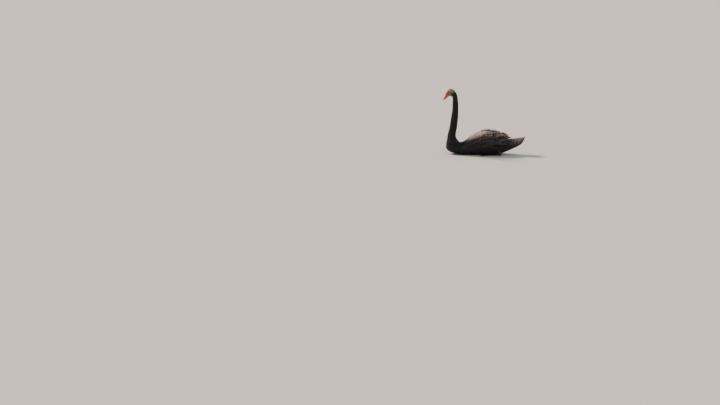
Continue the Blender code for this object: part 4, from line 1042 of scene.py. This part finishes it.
# Lid skin is soft, grainy and dusky red.
lid_skin, tree, shader = new_material("dusky_lid_skin")
place = add(tree, "TexCoord").outputs["Object"]
grain = add(tree, "TexNoise", {"Vector": place, "Scale": 1 / 0.0007, "Detail": 2.0}).outputs["Fac"]
tint = add(tree, "Mix", {0: grain, 6: linear("1d0d0b"), 7: linear("5a1d17")}, data_type="RGBA").outputs[2]
tree.links.new(tint, shader.inputs["Base Color"])
rough = add(tree, "MapRange", {"Value": grain, "To Min": 0.38, "To Max": 0.55}).outputs[0]
tree.links.new(rough, shader.inputs["Roughness"])
bump = add(tree, "Bump", {"Height": grain, "Strength": 0.3, "Distance": 0.0002}).outputs["Normal"]
tree.links.new(bump, shader.inputs["Normal"])
for side, word in ((-1, "left"), (1, "right")):
    middle, turn = eye_socket(side)
    seat = Matrix.Translation(middle) @ turn
    bm = bmesh.new()
    rows = []
    for i in range(1, BALL_RINGS):
        polar = math.pi * i / BALL_RINGS
        dome = 1.0 + CORNEA_DOME * math.exp(-((polar / 0.5) ** 2))
        row = []
        for j in range(BALL_SIDES):
            a = 2 * math.pi * j / BALL_SIDES
            outward = Vector((math.sin(polar) * math.cos(a), math.cos(polar), math.sin(polar) * math.sin(a)))
            row.append(seat @ (outward * EYE_RADIUS * dome))
        rows.append(row)
    lofted(bm, rows)
    ball = finished(f"eyeball_{word}", bm)
    ball.data.shade_smooth()
    places, _ = points_of(ball.data)
    axis = np.array(turn.to_3x3() @ Vector((0.0, 1.0, 0.0)))
    away = places - np.array(middle)
    outs = np.arccos(np.clip(away @ axis / np.linalg.norm(away, axis=1), -1, 1)) / math.pi
    give_attribute(ball.data, "out", outs)
    ball.data.materials.append(iris)
    bm = bmesh.new()
    rows = []
    for i in range(LID_STEPS):
        a = 2 * math.pi * i / LID_STEPS
        heavy = max(math.sin(a), 0.0)
        thick = LID_THICKNESS * (1 + LID_HEAVY * heavy + 0.06 * math.sin(9 * a))
        row = []
        for j in range(LID_SIDES):
            b = 2 * math.pi * j / LID_SIDES
            reach = LID_RADIUS - 0.0006 * heavy + thick * math.cos(b)
            rise = EYE_SUNK - LID_SUNK + thick * math.sin(b) * 1.25 + 0.0002 * heavy
            place = Vector((reach * LID_LONG * math.cos(a), rise, reach * math.sin(a)))
            row.append(bm.verts.new(seat @ place))
        rows.append(row)
    for near, far in zip(rows, rows[1:] + rows[:1]):
        for j in range(LID_SIDES):
            k = (j + 1) % LID_SIDES
            bm.faces.new((near[j], near[k], far[k], far[j]))
    lid = finished(f"lid_{word}", bm)
    lid.data.shade_smooth()
    lid.data.materials.append(lid_skin)
    for obj, slot in ((ball, "eye"), (lid, "leg_skin")):
        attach(obj, "root")
    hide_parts(f"eye_{word}")

# Legs and feet, folded forward under the flanks. Shank and toes are bone and sinew in tough grey skin, scaled
# with scutes along the top, with a thin web between the toes and a blunt claw on each toe.
LEG_Y, HEEL_X, TARSUS_FRONT_X, HEEL_RADIUS, TARSUS_RADIUS = 0.080, 0.150, 0.058, 0.0088, 0.0056
TOE_FANS = ((-2, 0.090), (9, 0.112), (21, 0.098))  # heading outwards in degrees, and length
TOE_RADIUS, TOE_ROOT, TOE_REACH, SCUTE, SCUTE_HIGH = 0.0044, -0.04, 0.955, 0.0030, 0.055
CLAW_FROM, CLAW_REACH, CLAW_RADIUS, CLAW_END = 0.885, 0.115, 0.0026, 0.0002
WEB_HIGH, WEB_THICKNESS, WEB_FROM, WEB_REACH, WEB_NOTCH, WEB_FOLD = 0.0024, 0.0012, 0.05, 0.79, 0.13, 0.0005
SHANK_STEPS, TOE_STEPS, CLAW_STEPS, WEB_ROWS, WEB_COLUMNS = 90, 80, 14, 24, 12
KNUCKLE_SIZE = (0.0068, 0.0080, 0.0050)
SHANK_PATH = (  # share along, how far back, how high, radius
    (0.00, HEEL_X - 0.030, 0.052, HEEL_RADIUS * 1.25),
    (0.16, HEEL_X - 0.008, 0.032, HEEL_RADIUS * 1.1),
    (0.28, HEEL_X, 0.016, HEEL_RADIUS),
    (0.38, HEEL_X - 0.006, HEEL_RADIUS * 0.86, HEEL_RADIUS),
    (0.48, HEEL_X - 0.022, 0.0062, TARSUS_RADIUS * 1.1),
    (0.66, HEEL_X - 0.050, 0.0052, TARSUS_RADIUS),
    (0.92, TARSUS_FRONT_X + 0.010, 0.0052, TARSUS_RADIUS * 1.05),
    (1.00, TARSUS_FRONT_X, 0.0052, TARSUS_RADIUS * 1.15),
)
TOE_SIZES = (  # share along, share of the radius: it swells at the joints
    (TOE_ROOT, 1.12), (0.10, 0.92), (0.30, 0.84), (0.36, 1.00), (0.44, 0.84), (0.62, 0.80),
    (0.68, 0.94), (0.76, 0.76), (0.86, 0.74), (0.905, 0.62), (0.915, 0.30),
)


def scaled_tube(bm, points, radii, sides, ridges):
    """A tube along points whose upper side is raised into scutes."""
    rings, travelled = [], 0.0
    for i, (point, radius) in enumerate(zip(points, radii)):
        ahead, behind = points[min(i + 1, len(points) - 1)], points[max(i - 1, 0)]
        along = (ahead - behind).normalized()
        travelled += (point - points[max(i - 1, 0)]).length
        across = along.cross(Vector((0.0, 0.0, 1.0))).normalized()
        up = across.cross(along).normalized()
        scute = SCUTE_HIGH * abs(math.sin(math.pi * travelled / SCUTE)) ** 0.5 if ridges else 0.0
        ring = []
        for j in range(sides):
            a = 2 * math.pi * j / sides
            reach = radius * (1 + scute * max(math.sin(a), 0.0))
            place = point + across * (math.cos(a) * reach) + up * (math.sin(a) * reach)
            ring.append(Vector((place.x, place.y, max(place.z, 0.0002))))
        rings.append(ring)
    lofted(bm, rings)


# Leg skin is matt charcoal grey, netted with small scales about 1.4 mm across that catch a dull light.
leg_skin, tree, shader = new_material("scaly_grey_leg_skin")
place = add(tree, "TexCoord").outputs["Object"]
net = add(tree, "TexVoronoi", {"Vector": place, "Scale": 1 / 0.0014}, feature="DISTANCE_TO_EDGE").outputs[0]
dust = add(tree, "TexNoise", {"Vector": place, "Scale": 1 / 0.009, "Detail": 3.0}).outputs["Fac"]
grey = add(tree, "Mix", {0: dust, 6: linear("1f1e20"), 7: linear("45423f")}, data_type="RGBA").outputs[2]
scale = add(tree, "MapRange", {"Value": net, "From Max": 0.12}).outputs[0]
tint = add(tree, "Mix", {0: scale, 6: linear("141315"), 7: grey}, data_type="RGBA").outputs[2]
tree.links.new(tint, shader.inputs["Base Color"])
rough = add(tree, "MapRange", {"Value": dust, "To Min": 0.45, "To Max": 0.68}).outputs[0]
tree.links.new(rough, shader.inputs["Roughness"])
bump = add(tree, "Bump", {"Height": scale, "Strength": 0.5, "Distance": 0.0003}).outputs["Normal"]
tree.links.new(bump, shader.inputs["Normal"])

# Claw horn is black, hard and polished by the ground, with streaks along it.
claw_horn, tree, shader = new_material("black_claw_horn")
place = add(tree, "TexCoord").outputs["Object"]
streaks = add(tree, "TexNoise", {"Vector": place, "Scale": 1 / 0.0015, "Detail": 2.0}).outputs["Fac"]
tint = add(tree, "Mix", {0: streaks, 6: linear("0c0b0b"), 7: linear("2e2a27")}, data_type="RGBA").outputs[2]
tree.links.new(tint, shader.inputs["Base Color"])
shader.inputs["Roughness"].default_value = 0.32
shader.inputs["IOR"].default_value = 1.54

shank_path, toe_size = smooth(SHANK_PATH), smooth(TOE_SIZES)
for side, word in ((-1, "left"), (1, "right")):
    stations = [shank_path(i / SHANK_STEPS) for i in range(SHANK_STEPS + 1)]
    points = [Vector((x, side * LEG_Y, z)) for x, z, _ in stations]
    bm = bmesh.new()
    scaled_tube(bm, points, [radius for _, _, radius in stations], 24, True)
    shank = finished(f"shank_{word}", bm)
    root = Vector((TARSUS_FRONT_X - 0.006, side * LEG_Y, 0.0))
    headings = [Vector((-math.cos(math.radians(turn)), side * math.sin(math.radians(turn)), 0.0))
                for turn, _ in TOE_FANS]
    toes, claws, webs = bmesh.new(), bmesh.new(), bmesh.new()
    bmesh.ops.create_uvsphere(toes, u_segments=24, v_segments=16, radius=1.0)
    for vertex in toes.verts:
        x, y, z = [value * size for value, size in zip(vertex.co, KNUCKLE_SIZE)]
        vertex.co = root + Vector((0.001 + x, y, max(0.0045 + z, 0.0002)))
    for heading, (_, length) in zip(headings, TOE_FANS):
        shares = [TOE_ROOT + TOE_REACH * i / TOE_STEPS for i in range(TOE_STEPS + 1)]
        sizes = [toe_size(share) * TOE_RADIUS for share in shares]
        points = [root + heading * (length * share) + Vector((0, 0, size * 0.86))
                  for share, size in zip(shares, sizes)]
        scaled_tube(toes, points, sizes, 16, True)
        shares = [CLAW_FROM + CLAW_REACH * i / CLAW_STEPS for i in range(CLAW_STEPS + 1)]
        sizes = [(1 - (i / CLAW_STEPS) ** 1.6) * CLAW_RADIUS + CLAW_END for i in range(CLAW_STEPS + 1)]
        points = [root + heading * (length * share) + Vector((0, 0, 0.0012 + size * 0.9))
                  for share, size in zip(shares, sizes)]
        scaled_tube(claws, points, sizes, 14, False)
    for near in (0, 1):
        grid = []
        for i in range(WEB_ROWS + 1):
            out = WEB_FROM + WEB_REACH * i / WEB_ROWS
            row = []
            for j in range(WEB_COLUMNS + 1):
                t = j / WEB_COLUMNS
                bulge = math.sin(math.pi * t) * (i / WEB_ROWS)
                notch = 1 - WEB_NOTCH * bulge
                ends = [headings[near + k] * (TOE_FANS[near + k][1] * out * notch) for k in (0, 1)]
                fold = WEB_FOLD * math.sin(math.pi * 5 * t) * bulge
                row.append(root + ends[0].lerp(ends[1], t) + Vector((0, 0, WEB_HIGH + fold)))
            under = [point - Vector((0, 0, WEB_THICKNESS)) for point in row[::-1]]
            grid.append(row + under)
        lofted(webs, grid)
    foot = [finished(f"toes_{word}", toes), finished(f"web_{word}", webs), finished(f"claws_{word}", claws)]
    for obj, finish in zip((shank, *foot), (leg_skin, leg_skin, leg_skin, claw_horn)):
        obj.data.shade_smooth()
        obj.data.materials.append(finish)
        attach(obj, "root")
    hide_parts(f"leg_{word}")
    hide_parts(f"foot_{word}")

# The floor is a pale, matt board, painted with a roller, and so wide that no edge of it is seen from the
# photo's side.
FLOOR_HALF = 90.0
bm = bmesh.new()
bmesh.ops.create_grid(bm, x_segments=8, y_segments=8, size=FLOOR_HALF)
floor = finished("floor", bm)
board, tree, shader = new_material("pale_painted_board")
place = add(tree, "TexCoord").outputs["Object"]
roller = add(tree, "TexNoise", {"Vector": place, "Scale": 1 / 0.004, "Detail": 2.0}).outputs["Fac"]
tint = add(tree, "Mix", {0: roller, 6: linear("cfcdc8"), 7: linear("d6d4cf")}, data_type="RGBA").outputs[2]
tree.links.new(tint, shader.inputs["Base Color"])
shader.inputs["Roughness"].default_value = 0.85
floor.data.materials.append(board)

# Studio light: a warm, soft key from high on the left and a little behind, as the sun stands in the photo, a
# weak cool fill from the near side and an even pale room.
LAMPS = (  # where from, how wide its disc looks in degrees, strength, colour
    ("key", (-1.0, 0.55, 0.95), 14, 4.8, "ffe9d2"),
    ("fill", (0.5, -1.0, 0.8), 60, 0.7, "e8eeff"),
    ("back_fill", (0.9, 0.8, 0.7), 60, 0.5, "f2f4ff"),
)
for name, place, disc, power, colour in LAMPS:
    lamp = bpy.data.lights.new(name, "SUN")
    lamp.angle, lamp.energy, lamp.color = math.radians(disc), power, linear(colour)[:3]
    holder = bpy.data.objects.new(name, lamp)
    bpy.context.scene.collection.objects.link(holder)
    holder.rotation_mode = "QUATERNION"
    holder.rotation_quaternion = Vector(place).to_track_quat("Z", "Y")
world = bpy.data.worlds.new("room")
bpy.context.scene.world = world
world.use_nodes = True
world.node_tree.nodes["Background"].inputs["Color"].default_value = linear("dfe3e8")
world.node_tree.nodes["Background"].inputs["Strength"].default_value = 0.50

# The camera has a long lens and the photo's framing: the swan is small, high and right of the middle. The
# place it looks at is found from where the waterline amidships shows, in pixels.
WATERLINE = Vector((0.0, 0.0, 0.095))
METRES_PER_PIXEL, FRAME_WIDE, FRAME_HIGH = 0.0096, 720, 405
WATERLINE_ACROSS, WATERLINE_DOWN = 485.5, 144.4
VIEW_AZIMUTH, VIEW_ELEVATION, FIELD = math.radians(5.3), math.radians(11.0), math.radians(13.0)
right = Vector((math.cos(VIEW_AZIMUTH), math.sin(VIEW_AZIMUTH), 0.0))
level = math.cos(VIEW_ELEVATION)
back = Vector((math.sin(VIEW_AZIMUTH) * level, -math.cos(VIEW_AZIMUTH) * level, math.sin(VIEW_ELEVATION)))
across = (FRAME_WIDE / 2 - WATERLINE_ACROSS) * METRES_PER_PIXEL
down = (FRAME_HIGH / 2 - WATERLINE_DOWN) * METRES_PER_PIXEL
target = WATERLINE + right * across - back.cross(right) * down
camera = bpy.data.objects.new("camera", bpy.data.cameras.new("camera"))
bpy.context.scene.collection.objects.link(camera)
bpy.context.scene.camera = camera
camera.data.angle = FIELD
camera.data.clip_end = 300.0
camera.location = target + back * (FRAME_WIDE * METRES_PER_PIXEL / 2 / math.tan(FIELD / 2))
camera.rotation_mode = "QUATERNION"
camera.rotation_quaternion = back.to_track_quat("Z", "Y")
